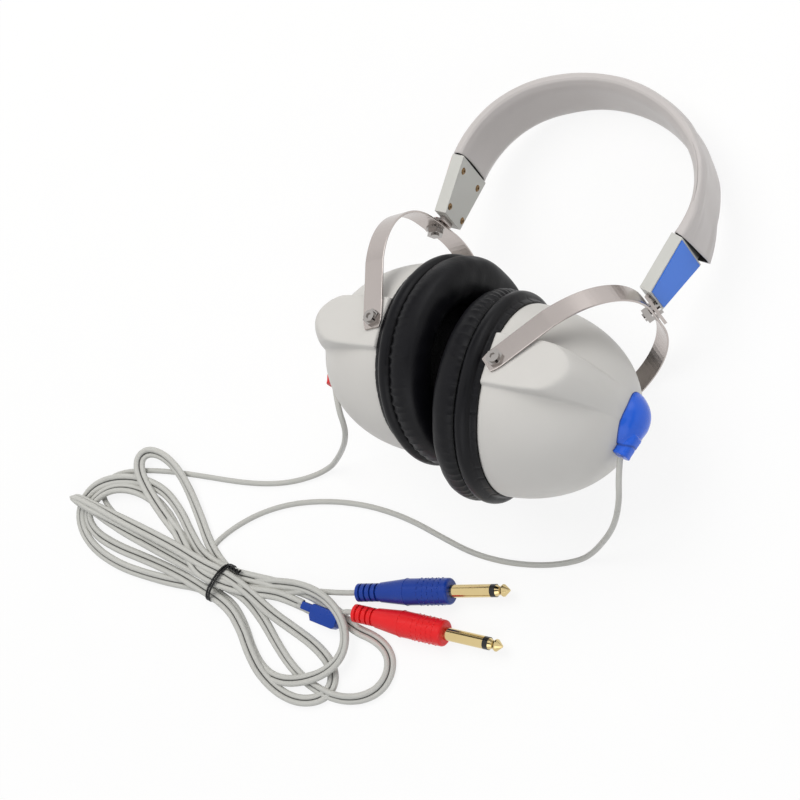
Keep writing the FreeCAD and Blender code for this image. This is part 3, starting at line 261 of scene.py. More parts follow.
# dark cards: middle, width and depth in metres, and tilt in radians
DARK_CARDS = [
    ((0.75, -0.12, 1.2), 0.9, 0.5, 0.1),
    ((-0.9, 1.1, 0.9), 0.5, 1.4, -0.6),
    ((1.3, 0.5, 0.5), 0.3, 1.6, 1.2),
]


def blank_material(name):
    """A new material and its empty node tree."""
    made = bpy.data.materials.new(name)
    made.use_nodes = True
    made.node_tree.nodes.clear()
    return made, made.node_tree


def sheet_corners(across, up):
    return [(-across, -up, 0), (across, -up, 0), (across, up, 0), (-across, up, 0)]


def stage_sheet(name, corners, material):
    """A flat sheet that stands round the object and isn't part of it."""
    mesh = bpy.data.meshes.new(name)
    mesh.from_pydata(corners, [], [(0, 1, 2, 3)])
    mesh.materials.append(material)
    sheet = bpy.data.objects.new(name, mesh)
    bpy.context.scene.collection.objects.link(sheet)
    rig.stage(sheet)
    return sheet


def larger(tree, first, second):
    return add(tree, "ShaderNodeMath", {0: first, 1: second}, operation="MAXIMUM").outputs[0]


def make_world():
    """Even room light, and a white backdrop for the camera, mirrors and clear parts."""
    world = bpy.data.worlds.new("studio")
    bpy.context.scene.world = world
    world.use_nodes = True
    tree = world.node_tree
    tree.nodes.clear()
    path = add(tree, "ShaderNodeLightPath")
    seen = larger(tree, path.outputs["Is Camera Ray"], path.outputs["Is Glossy Ray"])
    seen = larger(tree, seen, path.outputs["Is Transmission Ray"])
    room = add(tree, "ShaderNodeBackground", {"Color": linear("#EDEEF0"), "Strength": 0.4})
    white = add(tree, "ShaderNodeBackground", {"Color": (1, 1, 1, 1), "Strength": 1.0})
    shown = add(tree, "ShaderNodeMixShader", {0: seen, 1: room.outputs[0], 2: white.outputs[0]})
    add(tree, "ShaderNodeOutputWorld", {"Surface": shown.outputs[0]})


def make_floor():
    """Matt white paper that keeps a soft shadow."""
    paper, tree = blank_material("white_paper")
    grain = add(tree, "ShaderNodeTexNoise", {"Scale": 400.0, "Detail": 3.0})
    tone = add(
        tree,
        "ShaderNodeMix",
        {"Factor": grain.outputs["Fac"], "A": linear("#FDFDFC"), "B": linear("#F8F8F7")},
        data_type="RGBA",
    )
    matt = add(tree, "ShaderNodeBsdfDiffuse", {"Color": tone.outputs["Result"], "Roughness": 0.6})
    glow = add(tree, "ShaderNodeEmission", {"Color": (1, 1, 1, 1), "Strength": 1.0})
    path = add(tree, "ShaderNodeLightPath")
    share = add(
        tree,
        "ShaderNodeMath",
        {0: path.outputs["Is Camera Ray"], 1: FLOOR_GLOW},
        operation="MULTIPLY",
    )
    white = larger(tree, path.outputs["Is Glossy Ray"], share.outputs[0])
    mixed = add(tree, "ShaderNodeMixShader", {0: white, 1: matt.outputs[0], 2: glow.outputs[0]})
    add(tree, "ShaderNodeOutputMaterial", {"Surface": mixed.outputs[0]})
    stage_sheet("floor", sheet_corners(FLOOR_REACH, FLOOR_REACH), paper)


def make_dark_cards():
    """Cards that only bright metal mirrors, which gives it its dark bands."""
    felt, tree = blank_material("dark_card")
    dark = add(tree, "ShaderNodeEmission", {"Color": linear("#3A3634"), "Strength": 1.0})
    add(tree, "ShaderNodeOutputMaterial", {"Surface": dark.outputs[0]})
    for n, (middle, wide, deep, tilt) in enumerate(DARK_CARDS):
        turn = Matrix.Rotation(tilt, 3, "X" if wide > deep else "Y")
        corners = [turn @ Vector(c) + Vector(middle) for c in sheet_corners(wide / 2, deep / 2)]
        card = stage_sheet(f"card_{n}", corners, felt)
        card.visible_camera = False
        card.visible_diffuse = False
        card.visible_shadow = False
        card.visible_transmission = False


bpy.context.scene.view_settings.view_transform = "Standard"
make_world()
make_floor()
# the key isn't mirrored, because polished metal would blow out in it
lamp("key", (-0.6, 0.45, 1.6), (0, -0.05, 0.03), 1.5, 21.0, "#FFFDFA", mirrored=False)
lamp("fill", (1.0, -0.9, 1.0), (0, -0.06, 0.03), 1.6, 6.0, "#FBFCFF")
lamp("rim", (0.35, 1.1, 0.6), (0, 0, 0.04), 0.9, 3.0, "#FFFFFF")
make_dark_cards()

# ---------------------------------------------------------------- finishes


def finish(
    name,
    colour,
    second,
    roughness,
    grain,
    height,
    mottle=18.0,
    metallic=0.0,
    pattern="noise",
    uneven=0.06,
    shaded=False,
    **shader,
):
    """A finish with two close tones, uneven gloss and a fine relief.

    grain and mottle are the spacings of the relief and of the two tones, and
    height is the relief's depth, all in millimetres. With shaded, the piece's
    own point attribute paints shade into its grooves, seams and hollows.
    """
    made, tree = blank_material(name)
    place = add(tree, "ShaderNodeTexCoord").outputs["Object"]
    coarse = add(
        tree,
        "ShaderNodeTexNoise",
        {"Vector": place, "Scale": 1 / (mottle * MM), "Detail": 4.0, "Roughness": 0.6},
    )
    tone = add(
        tree,
        "ShaderNodeMix",
        {"Factor": coarse.outputs["Fac"], "A": linear(colour), "B": linear(second)},
        data_type="RGBA",
    )
    # painted shade: each point's attribute mixes the colour towards near black in grooves, seams and hollows
    if shaded:
        painted_shade = add(tree, "ShaderNodeAttribute", attribute_name="painted_shade")
        tone = add(
            tree,
            "ShaderNodeMix",
            {"Factor": painted_shade.outputs["Fac"], "A": tone.outputs["Result"], "B": linear("#1A1A1A")},
            data_type="RGBA",
        )
    gloss = add(
        tree,
        "ShaderNodeMapRange",
        {
            "Value": coarse.outputs["Fac"],
            "From Min": 0.3,
            "From Max": 0.7,
            "To Min": max(0.02, roughness - uneven),
            "To Max": roughness + uneven,
        },
    )
    spacing = {"Vector": place, "Scale": 1 / (grain * MM)}
    if pattern == "cells":
        fine = add(tree, "ShaderNodeTexVoronoi", spacing, feature="SMOOTH_F1")
        relief = fine.outputs["Distance"]
    else:
        fine = add(tree, "ShaderNodeTexNoise", {**spacing, "Detail": 3.0})
        relief = fine.outputs["Fac"]
    bump = add(
        tree, "ShaderNodeBump", {"Height": relief, "Distance": height * MM, "Strength": 1.0}
    )
    surface = add(
        tree,
        "ShaderNodeBsdfPrincipled",
        {
            "Base Color": tone.outputs["Result"],
            "Roughness": gloss.outputs["Result"],
            "Normal": bump.outputs["Normal"],
            "Metallic": metallic,
            **shader,
        },
    )
    add(tree, "ShaderNodeOutputMaterial", {"Surface": surface.outputs[0]})
    return made


# how strongly a plasticised surface mirrors: less than bare hard plastic
PLASTIC = {"Specular IOR Level": 0.32}
VINYL = {"Specular IOR Level": 0.18}
METAL = {"metallic": 1.0}
FINISHES = {
    # injection-moulded ABS: sparked mould, so matt and even, warm grey
    "shell_abs": finish("moulded_abs_grey", "#CFCDC9", "#CBC9C5", 0.5, 0.5, 0.012),
    # extruded soft PVC sleeve: satin, wide faint tone from handling, with painted shade on its lining inside and slight
    # painted shade on its mouths' lips
    "sheath_pvc": finish(
        "soft_pvc_grey", "#C9C4C2", "#BDB8B6", 0.38, 1.6, 0.03, mottle=30, shaded=True
    ),
    # embossed leathercloth over soft foam: fine pebble that breaks up a dull sheen; painted shade along its seam and in
    # its gathers
    "cushion_vinyl": finish(
        "leathercloth_black",
        "#0A0A0D",
        "#0F0F13",
        0.42,
        0.8,
        0.045,
        pattern="cells",
        mottle=9,
        shaded=True,
        **VINYL,
    ),
    # the same cloth pulled tight over the rim: its pebble is flatter, its sheen closer; painted shade at its two seams
    "ring_vinyl": finish(
        "leathercloth_black_taut",
        "#09090C",
        "#0D0D11",
        0.38,
        0.8,
        0.03,
        pattern="cells",
        mottle=9,
        shaded=True,
        **VINYL,
    ),
    # cold-rolled stainless strip, satin polished: grey-beige, soft wide reflections
    "stainless": finish(
        "satin_stainless", "#BFB7B3", "#B9B1AD", 0.24, 0.5, 0.002, mottle=25, uneven=0.02, **METAL
    ),
    # barrel-plated nickel on small screws and nuts: bright, with hard edges of light
    "nickel": finish("bright_nickel", "#ADA9A6", "#A39F9C", 0.12, 1.2, 0.002, uneven=0.02, **METAL),
    # free-turning brass: yellow, with fine tool marks
    "insert_brass": finish("turned_brass", "#C9A35A", "#B98F48", 0.3, 0.5, 0.006, **METAL),
    # rolled brass eyelets, handled and tarnished: brown in places
    "eyelet_brass": finish(
        "rolled_brass", "#8F7350", "#6E5638", 0.34, 0.6, 0.01, mottle=2, **METAL
    ),
    # hardened and oiled spring strip: neutral grey, half dull
    "spring_steel": finish("spring_steel", "#8E8E8E", "#7C7C7C", 0.35, 0.6, 0.005, **METAL),
    # stoved enamel on folded sheet: smooth, pale, slightly green grey
    "box_metal": finish("grey_enamel", "#C9C9C4", "#C4C4BF", 0.36, 1.4, 0.006, uneven=0.03),
    # painted metal plates: flat strong colour under a clear coat
    "blue_label": finish(
        "blue_plate", "#3C7DE8", "#3A7AE3", 0.32, 1.8, 0.002, uneven=0.02, **PLASTIC
    ),
    "red_label": finish(
        "red_plate", "#D8282E", "#D0262B", 0.32, 1.8, 0.002, uneven=0.02, **PLASTIC
    ),
    # dipped soft vinyl: glossy, very slightly uneven, with painted shade in the collar's step and along the cap's edge
    # on the dome
    "boot_blue": finish(
        "glossy_blue_vinyl",
        "#2A66E0",
        "#2660D6",
        0.24,
        2.5,
        0.008,
        mottle=8,
        shaded=True,
        **PLASTIC,
    ),
    "boot_red": finish(
        "glossy_red_vinyl",
        "#DE2A2C",
        "#D22527",
        0.24,
        2.5,
        0.008,
        mottle=8,
        shaded=True,
        **PLASTIC,
    ),
    # extruded cord jackets: satin, smooth, a plain light grey
    "cord_pvc": finish("cord_pvc", "#C0C0BB", "#B8B8B3", 0.4, 0.8, 0.015, mottle=12),
    # the twin cord's jacket, with painted shade in the web between its cores
    "twin_pvc": finish(
        "twin_cord_pvc", "#C8C8C3", "#C0C0BB", 0.4, 0.8, 0.015, mottle=12, shaded=True
    ),
    # PVC round the tie's wire: black, half glossy
    "tie_black": finish("tie_pvc", "#070708", "#0D0D0F", 0.32, 0.8, 0.02, **PLASTIC),
    # moulded clip and grips: saturated, satin, fine orange peel
    "clip_blue": finish(
        "clip_plastic", "#123F9E", "#113A93", 0.3, 0.9, 0.008, mottle=5, **PLASTIC
    ),
    "grip_blue": finish(
        "grip_blue_pvc", "#143C9C", "#133890", 0.32, 0.9, 0.008, mottle=8, **PLASTIC
    ),
    "grip_red": finish(
        "grip_red_pvc", "#EE2226", "#E41F23", 0.32, 0.9, 0.008, mottle=8, **PLASTIC
    ),
    # thin gold over turned nickel: pale yellow, almost a mirror
    "gold": finish(
        "gold_plate", "#DCC795", "#D2BC86", 0.13, 0.7, 0.001, mottle=6, uneven=0.02, **METAL
    ),
    # machined black nylon ring between the plug's contacts: glossy
    "insulator_black": finish("insulator_black", "#08080A", "#101013", 0.25, 0.6, 0.01),
    # open-cell foams: dull, pitted, no highlight
    "black_foam": finish(
        "open_foam", "#0B0B0C", "#19191B", 0.9, 0.8, 0.25, pattern="cells", mottle=3
    ),
    "pad_foam": finish(
        "grey_foam", "#2A2A2B", "#39393B", 0.9, 0.9, 0.25, pattern="cells", mottle=3
    ),
    # moulded black ABS inside the cup: matt, nearly black
    "baffle_abs": finish("black_abs", "#0E0E0F", "#151516", 0.5, 0.6, 0.02),
    "grille_abs": finish("black_abs_grille", "#0E0E0F", "#151516", 0.45, 0.6, 0.02),
    # pressed zinc-plated basket: dull silver
    "basket_metal": finish("pressed_basket", "#A9AAAC", "#9B9C9E", 0.35, 0.8, 0.01, **METAL),
    # sintered ferrite: dark grey, stony
    "magnet_ferrite": finish("ferrite", "#2B2B2E", "#3A3A3D", 0.55, 0.5, 0.04),
    # formed plastic film: pale amber, shiny
    "diaphragm_film": finish("diaphragm_film", "#C7BFA0", "#B9B08F", 0.22, 1.0, 0.01),
}


def dress(obj, slot):
    """Gives a piece the finish of its slot."""
    obj.data.materials.clear()
    obj.data.materials.append(FINISHES[slot])


for entry in frame["record"]["subparts"]:
    dress(frame["nodes"][entry["node"]], entry["material_slot"])

# ---------------------------------------------------------------- mesh helpers


def piece(name, points, faces, body, slot, painted_shade=None):
    """A smooth mesh piece from points in millimetres, riding on a body if one is named."""
    mesh = bpy.data.meshes.new(name)
    mesh.from_pydata([tuple(c * MM for c in p) for p in points], [], faces)
    # each point's painted shade, stored for its finish to read
    if painted_shade:
        mesh.attributes.new("painted_shade", "FLOAT", "POINT").data.foreach_set("value", painted_shade)
    mesh.validate()
    mesh.shade_smooth()
    obj = bpy.data.objects.new(name, mesh)
    bpy.context.scene.collection.objects.link(obj)
    if body:
        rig.ride(obj, body)
    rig.slot(obj, slot)
    dress(obj, slot)
    return obj


def grid_faces(rows, columns, closed_rows, closed_columns):
    """Quads over rows of points; a closed direction joins its last to its first."""
    faces = []
    for r in range(rows if closed_rows else rows - 1):
        for c in range(columns if closed_columns else columns - 1):
            a, b = r * columns + c, r * columns + (c + 1) % columns
            far = ((r + 1) % rows) * columns
            faces.append((a, b, far + (c + 1) % columns, far + c))
    return faces


def through(points, steps):
    """A closed smooth line through points, with some steps on each span."""
    line = []
    count = len(points)
    for n in range(count):
        p0, p1, p2, p3 = (Vector(points[(n + k - 1) % count]) for k in range(4))
        for k in range(steps):
            t = k / steps
            line.append(
                0.5
                * (
                    2 * p1
                    + (p2 - p0) * t
                    + (2 * p0 - 5 * p1 + 4 * p2 - p3) * t * t
                    + (3 * p1 - p0 - 3 * p2 + p3) * t**3
                )
            )
    return line


def bump_at(x, centre, width):
    """A soft bump of height one over a value."""
    return math.exp(-(((x - centre) / width) ** 2))


# ---------------------------------------------------------------- cords

CORD_RADIUS = 1.4
LEADS = {
    "left": [
        (-65.2, -99.0, 44.7),
        (-68.9, -105.5, 35.0),
        (-75.9, -111.2, 23.6),
        (-83.7, -116.8, 12.2),
        (-91.0, -123.1, 3.4),
        (-99.0, -130.5, 1.45),
        (-111.0, -138.8, 1.45),
        (-125.5, -145.3, 1.45),
        (-142.0, -150.3, 1.45),
        (-160.0, -154.5, 1.45),
        (-180.0, -159.5, 1.45),
        (-197.0, -165.0, 1.45),
        (-212.0, -172.0, 1.45),
        (-219.0, -180.0, 1.45),
        (-217.5, -188.0, 1.45),
        (-207.0, -193.0, 1.45),
        (-190.0, -196.5, 1.45),
        (-170.0, -198.0, 1.45),
        (-150.0, -197.5, 1.45),
    ],
    "right": [
        (86.3, -76.9, 51.5),
        (84.0, -85.6, 42.4),
        (78.7, -93.2, 31.3),
        (71.3, -100.6, 20.0),
        (63.6, -107.6, 9.6),
        (56.0, -113.6, 2.8),
        (44.5, -120.5, 1.45),
        (31.5, -126.0, 1.45),
        (16.0, -130.3, 1.45),
        (-1.0, -132.5, 1.45),
        (-19.0, -131.6, 1.45),
        (-38.0, -130.4, 1.45),
        (-57.0, -131.7, 1.45),
        (-75.0, -135.5, 1.45),
        (-92.0, -141.5, 1.45),
        (-108.0, -149.5, 1.45),
        (-122.0, -160.0, 1.45),
        (-133.0, -172.0, 1.45),
        (-140.0, -183.0, 1.45),
        (-141.5, -191.0, 1.45),
        (-137.0, -197.0, 1.45),
    ],
}
# where each lead leaves its boot's collar, and the end of its first run
COLLARS = {
    "left": [(-75.01, -82.15, 51.41), (-68.4, -90.9, 52.4)],
    "right": [(81.47, -59.85, 56.08), (84.4, -68.9, 55.6)],
}
TAILS = {
    "blue": [
        (-88.5, -190.0, 3.2),
        (-78.0, -184.0, 3.6),
        (-67.0, -180.3, 4.9),
        (-55.68, -176.43, 6.55),
        (-47.4, -172.9, 6.55),
    ],
    "red": [
        (-79.5, -192.6, 3.2),
        (-70.5, -192.9, 3.1),
        (-63.0, -192.6, 3.2),
        (-56.5, -190.4, 4.0),
        (-51.86, -184.01, 6.55),
        (-45.0, -182.6, 6.55),
    ],
}
# the twin cord's turns: through the tie to the left, then to the right, and so on
TWIN = [
    # from the join of the two leads, out to the tall loop and back under the tie
    (-125.0, -193.6, 2.0),
    (-134.0, -190.5, 2.0),
    (-143.9, -183.9, 2.4),
    (-153.0, -175.3, 2.8),
    (-164.8, -165.0, 3.6),
    (-175.1, -157.6, 5.0),
    (-186.5, -153.6, 6.0),
    (-196.5, -154.6, 6.2),
    (-200.8, -160.0, 6.0),
    (-198.4, -166.0, 5.8),
    (-192.5, -171.2, 5.4),
    (-183.0, -176.9, 5.2),
    (-172.5, -182.3, 4.6),
    (-161.0, -187.5, 3.6),
    (-150.0, -192.4, 2.2),
    (-139.0, -197.0, 1.6),
    (-124.0, -198.0, 1.6),
    # the near loop on the right, over the others
    (-110.0, -193.0, 2.2),
    (-95.0, -187.0, 3.0),
    (-79.0, -182.3, 5.0),
    (-64.0, -182.3, 7.0),
    (-52.0, -187.0, 7.2),
    (-44.8, -195.5, 6.8),
    (-43.5, -205.5, 6.4),
    (-49.0, -216.0, 6.0),
    (-60.5, -225.0, 4.6),
    (-73.0, -230.3, 3.0),
    (-84.5, -230.2, 2.4),
    (-95.5, -223.5, 2.4),
    (-106.0, -213.5, 2.0),
    (-119.0, -206.4, 1.6),
    (-139.0, -206.4, 1.6),
    # the wide loop on the left
    (-154.0, -210.5, 2.0),
    (-171.0, -213.6, 2.2),
    (-189.0, -215.8, 2.2),
    (-207.0, -214.5, 2.2),
    (-220.0, -209.0, 2.2),
    (-227.0, -200.5, 2.2),
    (-226.5, -190.0, 2.4),
    (-219.5, -181.0, 3.6),
    (-207.5, -174.0, 4.4),
    (-194.0, -170.2, 2.8),
    (-180.0, -170.5, 2.4),
    (-166.5, -176.5, 2.4),
    (-155.0, -184.5, 3.2),
    (-142.0, -191.5, 4.8),
    (-124.0, -193.0, 4.8),
    # the far loop on the right, round the red plug
    (-108.0, -190.0, 3.2),
    (-92.0, -186.8, 2.2),
    (-76.0, -184.5, 1.8),
    (-60.0, -186.5, 1.6),
    (-45.0, -190.8, 1.6),
    (-31.0, -190.0, 1.8),
    (-21.0, -193.5, 2.0),
    (-16.8, -201.5, 2.2),
    (-18.5, -211.5, 2.2),
    (-26.5, -220.0, 2.2),
    (-39.0, -225.2, 2.2),
    (-53.5, -225.6, 2.2),
    (-68.0, -222.4, 2.0),
    (-82.0, -215.8, 2.0),
    (-96.0, -206.5, 2.6),
    (-110.0, -200.0, 4.0),
    (-123.0, -199.6, 4.8),
    (-139.0, -199.8, 5.0),
    # the long fold on the left, over the wide loop
    (-156.0, -199.0, 6.0),
    (-176.0, -198.4, 6.4),
    (-198.0, -197.4, 6.8),
    (-215.0, -196.2, 7.4),
    (-226.5, -195.6, 7.7),
    (-231.5, -194.2, 7.9),
    (-226.5, -192.7, 8.1),
    (-215.0, -192.6, 8.1),
    (-198.0, -193.0, 7.8),
    (-176.0, -193.0, 7.8),
    (-156.0, -193.2, 8.0),
    (-139.0, -194.6, 8.0),
    (-123.0, -194.2, 8.0),
    # the low loop on the right
    (-108.0, -197.0, 6.0),
    (-92.0, -202.0, 4.0),
    (-77.0, -204.2, 2.6),
    (-62.0, -206.5, 2.2),
    (-50.0, -211.0, 2.2),
    (-44.0, -219.0, 2.2),
    (-47.0, -228.5, 2.2),
    (-58.0, -235.0, 2.2),
    (-71.0, -236.0, 2.2),
    (-84.0, -231.8, 4.2),
    (-94.0, -224.5, 5.6),
    (-104.0, -215.5, 5.2),
    (-117.0, -208.0, 4.8),
    (-139.0, -206.0, 4.8),
    # the slack strand inside the wide loop
    (-156.0, -205.5, 3.4),
    (-176.0, -206.5, 2.2),
    (-197.0, -208.0, 2.2),
    (-213.0, -206.5, 2.6),
    (-221.5, -199.5, 3.6),
    (-219.5, -189.5, 3.8),
    (-211.5, -181.0, 4.6),
    (-199.5, -176.4, 4.6),
    (-187.0, -176.2, 2.6),
    (-174.5, -180.0, 2.4),
    (-161.0, -187.5, 4.4),
    (-146.0, -196.0, 7.4),
    (-138.0, -199.6, 8.0),
    (-122.0, -199.4, 8.0),
    # and out to the clip
    (-108.0, -197.0, 5.0),
    (-96.0, -193.0, 3.2),
    (-87.0, -191.6, 3.1),
    (-76.6, -191.4, 3.15),
]


def route_curve(name, points):
    """A smooth open line with the route's points as its control points."""
    data = bpy.data.curves.new(name, "CURVE")
    data.dimensions = "3D"
    data.resolution_u = 12
    spline = data.splines.new("NURBS")
    spline.points.add(len(points) - 1)
    for knot, point in zip(spline.points, points):
        knot.co = (*(c * MM for c in point), 1.0)
        knot.radius = CORD_RADIUS * MM
    spline.order_u = 3
    spline.use_endpoint_u = True
    obj = bpy.data.objects.new(name, data)
    bpy.context.scene.collection.objects.link(obj)
    return obj


def line_of(name, points):
    """The points of the route's smooth line, in metres."""
    obj = route_curve(name, points)
    seen = obj.evaluated_get(bpy.context.evaluated_depsgraph_get())
    mesh = bpy.data.meshes.new_from_object(seen)
    line = [v.co.copy() for v in mesh.vertices]
    bpy.data.objects.remove(obj)
    bpy.data.meshes.remove(mesh)
    return line


def length_of(line):
    """Length of a line of points."""
    return sum((b - a).length for a, b in zip(line, line[1:]))


def round_cord(name, points, replaced, with_pieces):
    """A plug's round lead along its route's own smooth curve."""
    obj = route_curve(name, points)
    obj.data.bevel_depth = 1.0
    obj.data.bevel_resolution = 6
    obj.data.use_fill_caps = True
    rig.ride(obj, "headband")
    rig.slot(obj, "cord_pvc")
    dress(obj, "cord_pvc")
    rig.replaces(obj, replaced)
    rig.cord(
        obj,
        exit=tuple(c * MM for c in points[0]),
        length=length_of(line_of("line", points)),
        diameter=2 * CORD_RADIUS * MM,
        far_end="plug",
        stiffness="limp",
        lay="loose",
        with_pieces=with_pieces,
    )


def frame_along(line, n, closed=False, up=(0, 0, 1)):
    """Across and over directions of a line at one of its points."""
    if closed:
        before, after = line[n - 1], line[(n + 1) % len(line)]
    else:
        before, after = line[max(n - 1, 0)], line[min(n + 1, len(line) - 1)]
    along = (after - before).normalized()
    across = along.cross(Vector(up)).normalized()
    return across, across.cross(along).normalized()


def end_caps(first, sides, last):
    """Faces that close a tube's two ends; last is its last point."""
    return [tuple(first + k for k in range(sides)), tuple(last - k for k in range(sides))]


def evenly(line, gap):
    """Points at an even gap along a line."""
    runs = [0.0]
    for a, b in zip(line, line[1:]):
        runs.append(runs[-1] + (b - a).length)
    count = max(2, round(runs[-1] / gap))
    made, at = [], 0
    for n in range(count + 1):
        want = runs[-1] * n / count
        while at < len(runs) - 2 and runs[at + 1] < want:
            at += 1
        span = runs[at + 1] - runs[at]
        share = (want - runs[at]) / span if span > 0 else 0.0
        made.append(line[at].lerp(line[at + 1], min(1.0, share)))
    return made


TWIN_CORE, TWIN_APART = 1.5, 1.5
TWIN_STEP = 1.2
TIE_X = -126.0
# angles round one core, from the web between the cores and back to it
TWIN_TURNS = (-158, -146, -128, -96, -58, -20, 20, 58, 96, 128, 146, 158)
# painted shade at each of those angles, darkest in the web between the cores
TWIN_WEB_SHADE = (1.0, 0.35, 0, 0, 0, 0, 0, 0, 0, 0, 0.35, 1.0)


def twin_lean(n, here):
    """How far the flat cord leans over: flat under the tie, on edge in the long fold."""
    free = min(1.0, abs(here.x - TIE_X) / 45)
    lean = free * (0.5 * math.sin(n * TWIN_STEP / 52.0) + 0.2 * noise.noise(here * 0.02))
    folded = bump_at(here.x, -234, 42) * bump_at(here.y, -194.3, 6) * (here.z > 6.5)
    return lean + (1.25 - lean) * min(1.0, folded * 1.3)


def twin_cord():
    """Flat cord of two cores side by side, tied in loops."""
    line = [p / MM for p in evenly(line_of("twin_line", TWIN), TWIN_STEP * MM)]
    points, painted_shade = [], []
    for n, here in enumerate(line):
        across, over = frame_along(line, n)
        lean = twin_lean(n, here)
        wide = across * math.cos(lean) + over * math.sin(lean)
        tall = over * math.cos(lean) - across * math.sin(lean)
        reach = (TWIN_CORE + TWIN_APART) * abs(math.sin(lean)) + TWIN_CORE * abs(math.cos(lean))
        lift = Vector((0, 0, max(0.0, reach * 0.93 + 0.1 - here.z)))
        for side in (1, -1):
            for turn, dark in zip(TWIN_TURNS, TWIN_WEB_SHADE):
                turn = math.radians(turn)
                beside = wide * side * (TWIN_APART + TWIN_CORE * math.cos(turn))
                points.append(here + lift + beside + tall * side * TWIN_CORE * math.sin(turn))
                painted_shade.append(dark)
    count = 2 * len(TWIN_TURNS)
    faces = grid_faces(len(line), count, False, True)
    faces += end_caps(0, count, len(points) - 1)
    obj = piece("twin_cord", points, faces, "headband", "cord_pvc", painted_shade=painted_shade)
    obj.data.materials[0] = FINISHES["twin_pvc"]
    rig.replaces(obj, "cable_bundle")
    path = [p * MM for p in line]
    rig.cord(
        obj,
        exit=tuple(c * MM for c in TWIN[0]),
        length=length_of(path),
        diameter=2 * (TWIN_CORE + TWIN_APART) * MM,
        far_end="fitting",
        stiffness="limp",
        lay="coiled",
        path=path,
        with_pieces=[twist_tie(), make_cord_clip()],
    )


# the tie's wire round the bundle, seen from its end: (along Y, height)
TIE_ROUND = [
    (-189.6, 2.2),
    (-189.2, 5.4),
    (-190.6, 8.6),
    (-194.5, 10.4),
    (-200.0, 10.7),
    (-205.5, 9.6),
    (-209.4, 6.6),
    (-210.0, 3.2),
    (-208.2, 0.95),
    (-203.0, 0.75),
    (-197.0, 0.75),
    (-191.6, 0.85),
]


TIE_RADIUS, TIE_SIDES = 0.58, 10
# the wire's round: its lowest point, its height and its middle across; then where each turn is
TIE_LOW, TIE_TALL, TIE_MIDDLE = 0.75, 10.0, -199.6
TIE_SLIPS = (0.0, 1.5)
# how far the turns lean along the cord, across the bundle and up it
TIE_FROM, TIE_ACROSS, TIE_UP = -126.6, 2.4, -0.8
# the twisted ends: start, the way they run, spins and distance from their middle
ENDS_FROM, ENDS_RUN = Vector((-123.6, -189.6, 8.6)), Vector((7.6, -0.6, -1.2))
ENDS_SPINS, ENDS_OFF, ENDS_SPREAD = 2, 0.62, 0.35


def tie_turns():
    """Two turns of wire side by side, which lean across the bundle."""
    turns = []
    for slip in TIE_SLIPS:
        line = []
        for p in through([(0.0, y, z) for y, z in TIE_ROUND], 6):
            lean = TIE_ACROSS * (p.y - TIE_MIDDLE) + TIE_UP * (p.z - TIE_LOW)
            line.append(Vector((TIE_FROM + slip + lean / TIE_TALL, p.y, p.z)))
        turns.append(line)
    return turns


def tie_ends():
    """The wire's two ends, twisted round each other and spread at the tips."""
    ends = []
    steps = 40
    for phase in (0.0, math.pi):
        line = []
        for k in range(steps):
            share = k / (steps - 1)
            spin = phase + share * ENDS_SPINS * 2 * math.pi
            off = ENDS_OFF + ENDS_SPREAD * bump_at(share, 1.0, 0.16)
            aside = Vector((0.1 * math.cos(spin), off * math.cos(spin), off * math.sin(spin)))
            line.append(ENDS_FROM + ENDS_RUN * share + aside)
        ends.append(line)
    return ends


def twist_tie():
    """Plastic-covered wire tied round the bundle."""
    points, faces = [], []
    for line, closed in [(t, True) for t in tie_turns()] + [(e, False) for e in tie_ends()]:
        first = len(points)
        for n, here in enumerate(line):
            across, over = frame_along(line, n, closed, up=(1, 0.2, 0.1))
            for k in range(TIE_SIDES):
                turn = 2 * math.pi * k / TIE_SIDES
                points.append(here + (across * math.cos(turn) + over * math.sin(turn)) * TIE_RADIUS)
        block = grid_faces(len(line), TIE_SIDES, closed, True)
        faces += [tuple(first + k for k in face) for face in block]
        if not closed:
            faces += end_caps(first, TIE_SIDES, len(points) - 1)
    tie = piece("wire_tie", points, faces, "headband", "tie_black")
    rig.replaces(tie, "twist_tie")
    return tie


# outlines along the lead, with the block's front corner cut off; then bottom and top
CLIP_BLOCK = [
    (8.4, -4.9),
    (21.5, -4.9),
    (23.0, -3.6),
    (23.0, 3.0),
    (22.2, 3.6),
    (7.6, 3.6),
    (7.0, 3.0),
    (7.0, -2.6),
]
CLIP_NECK = [(0.0, -0.9), (0.5, -1.3), (9.0, -1.3), (9.0, 2.6), (0.5, 2.6), (0.0, 2.2)]
CLIP_PARTS = ((CLIP_BLOCK, 0.0, 6.2), (CLIP_NECK, 1.4, 4.9))
CLIP_EDGE = 0.5


def pulled_in(corner, middle, inset):
    """An outline's corner, moved towards its middle by up to inset along both axes."""
    off = corner - middle
    step_x = math.copysign(min(inset, abs(off.x)), off.x)
    step_y = math.copysign(min(inset, abs(off.y)), off.y)
    return corner - Vector((step_x, step_y))


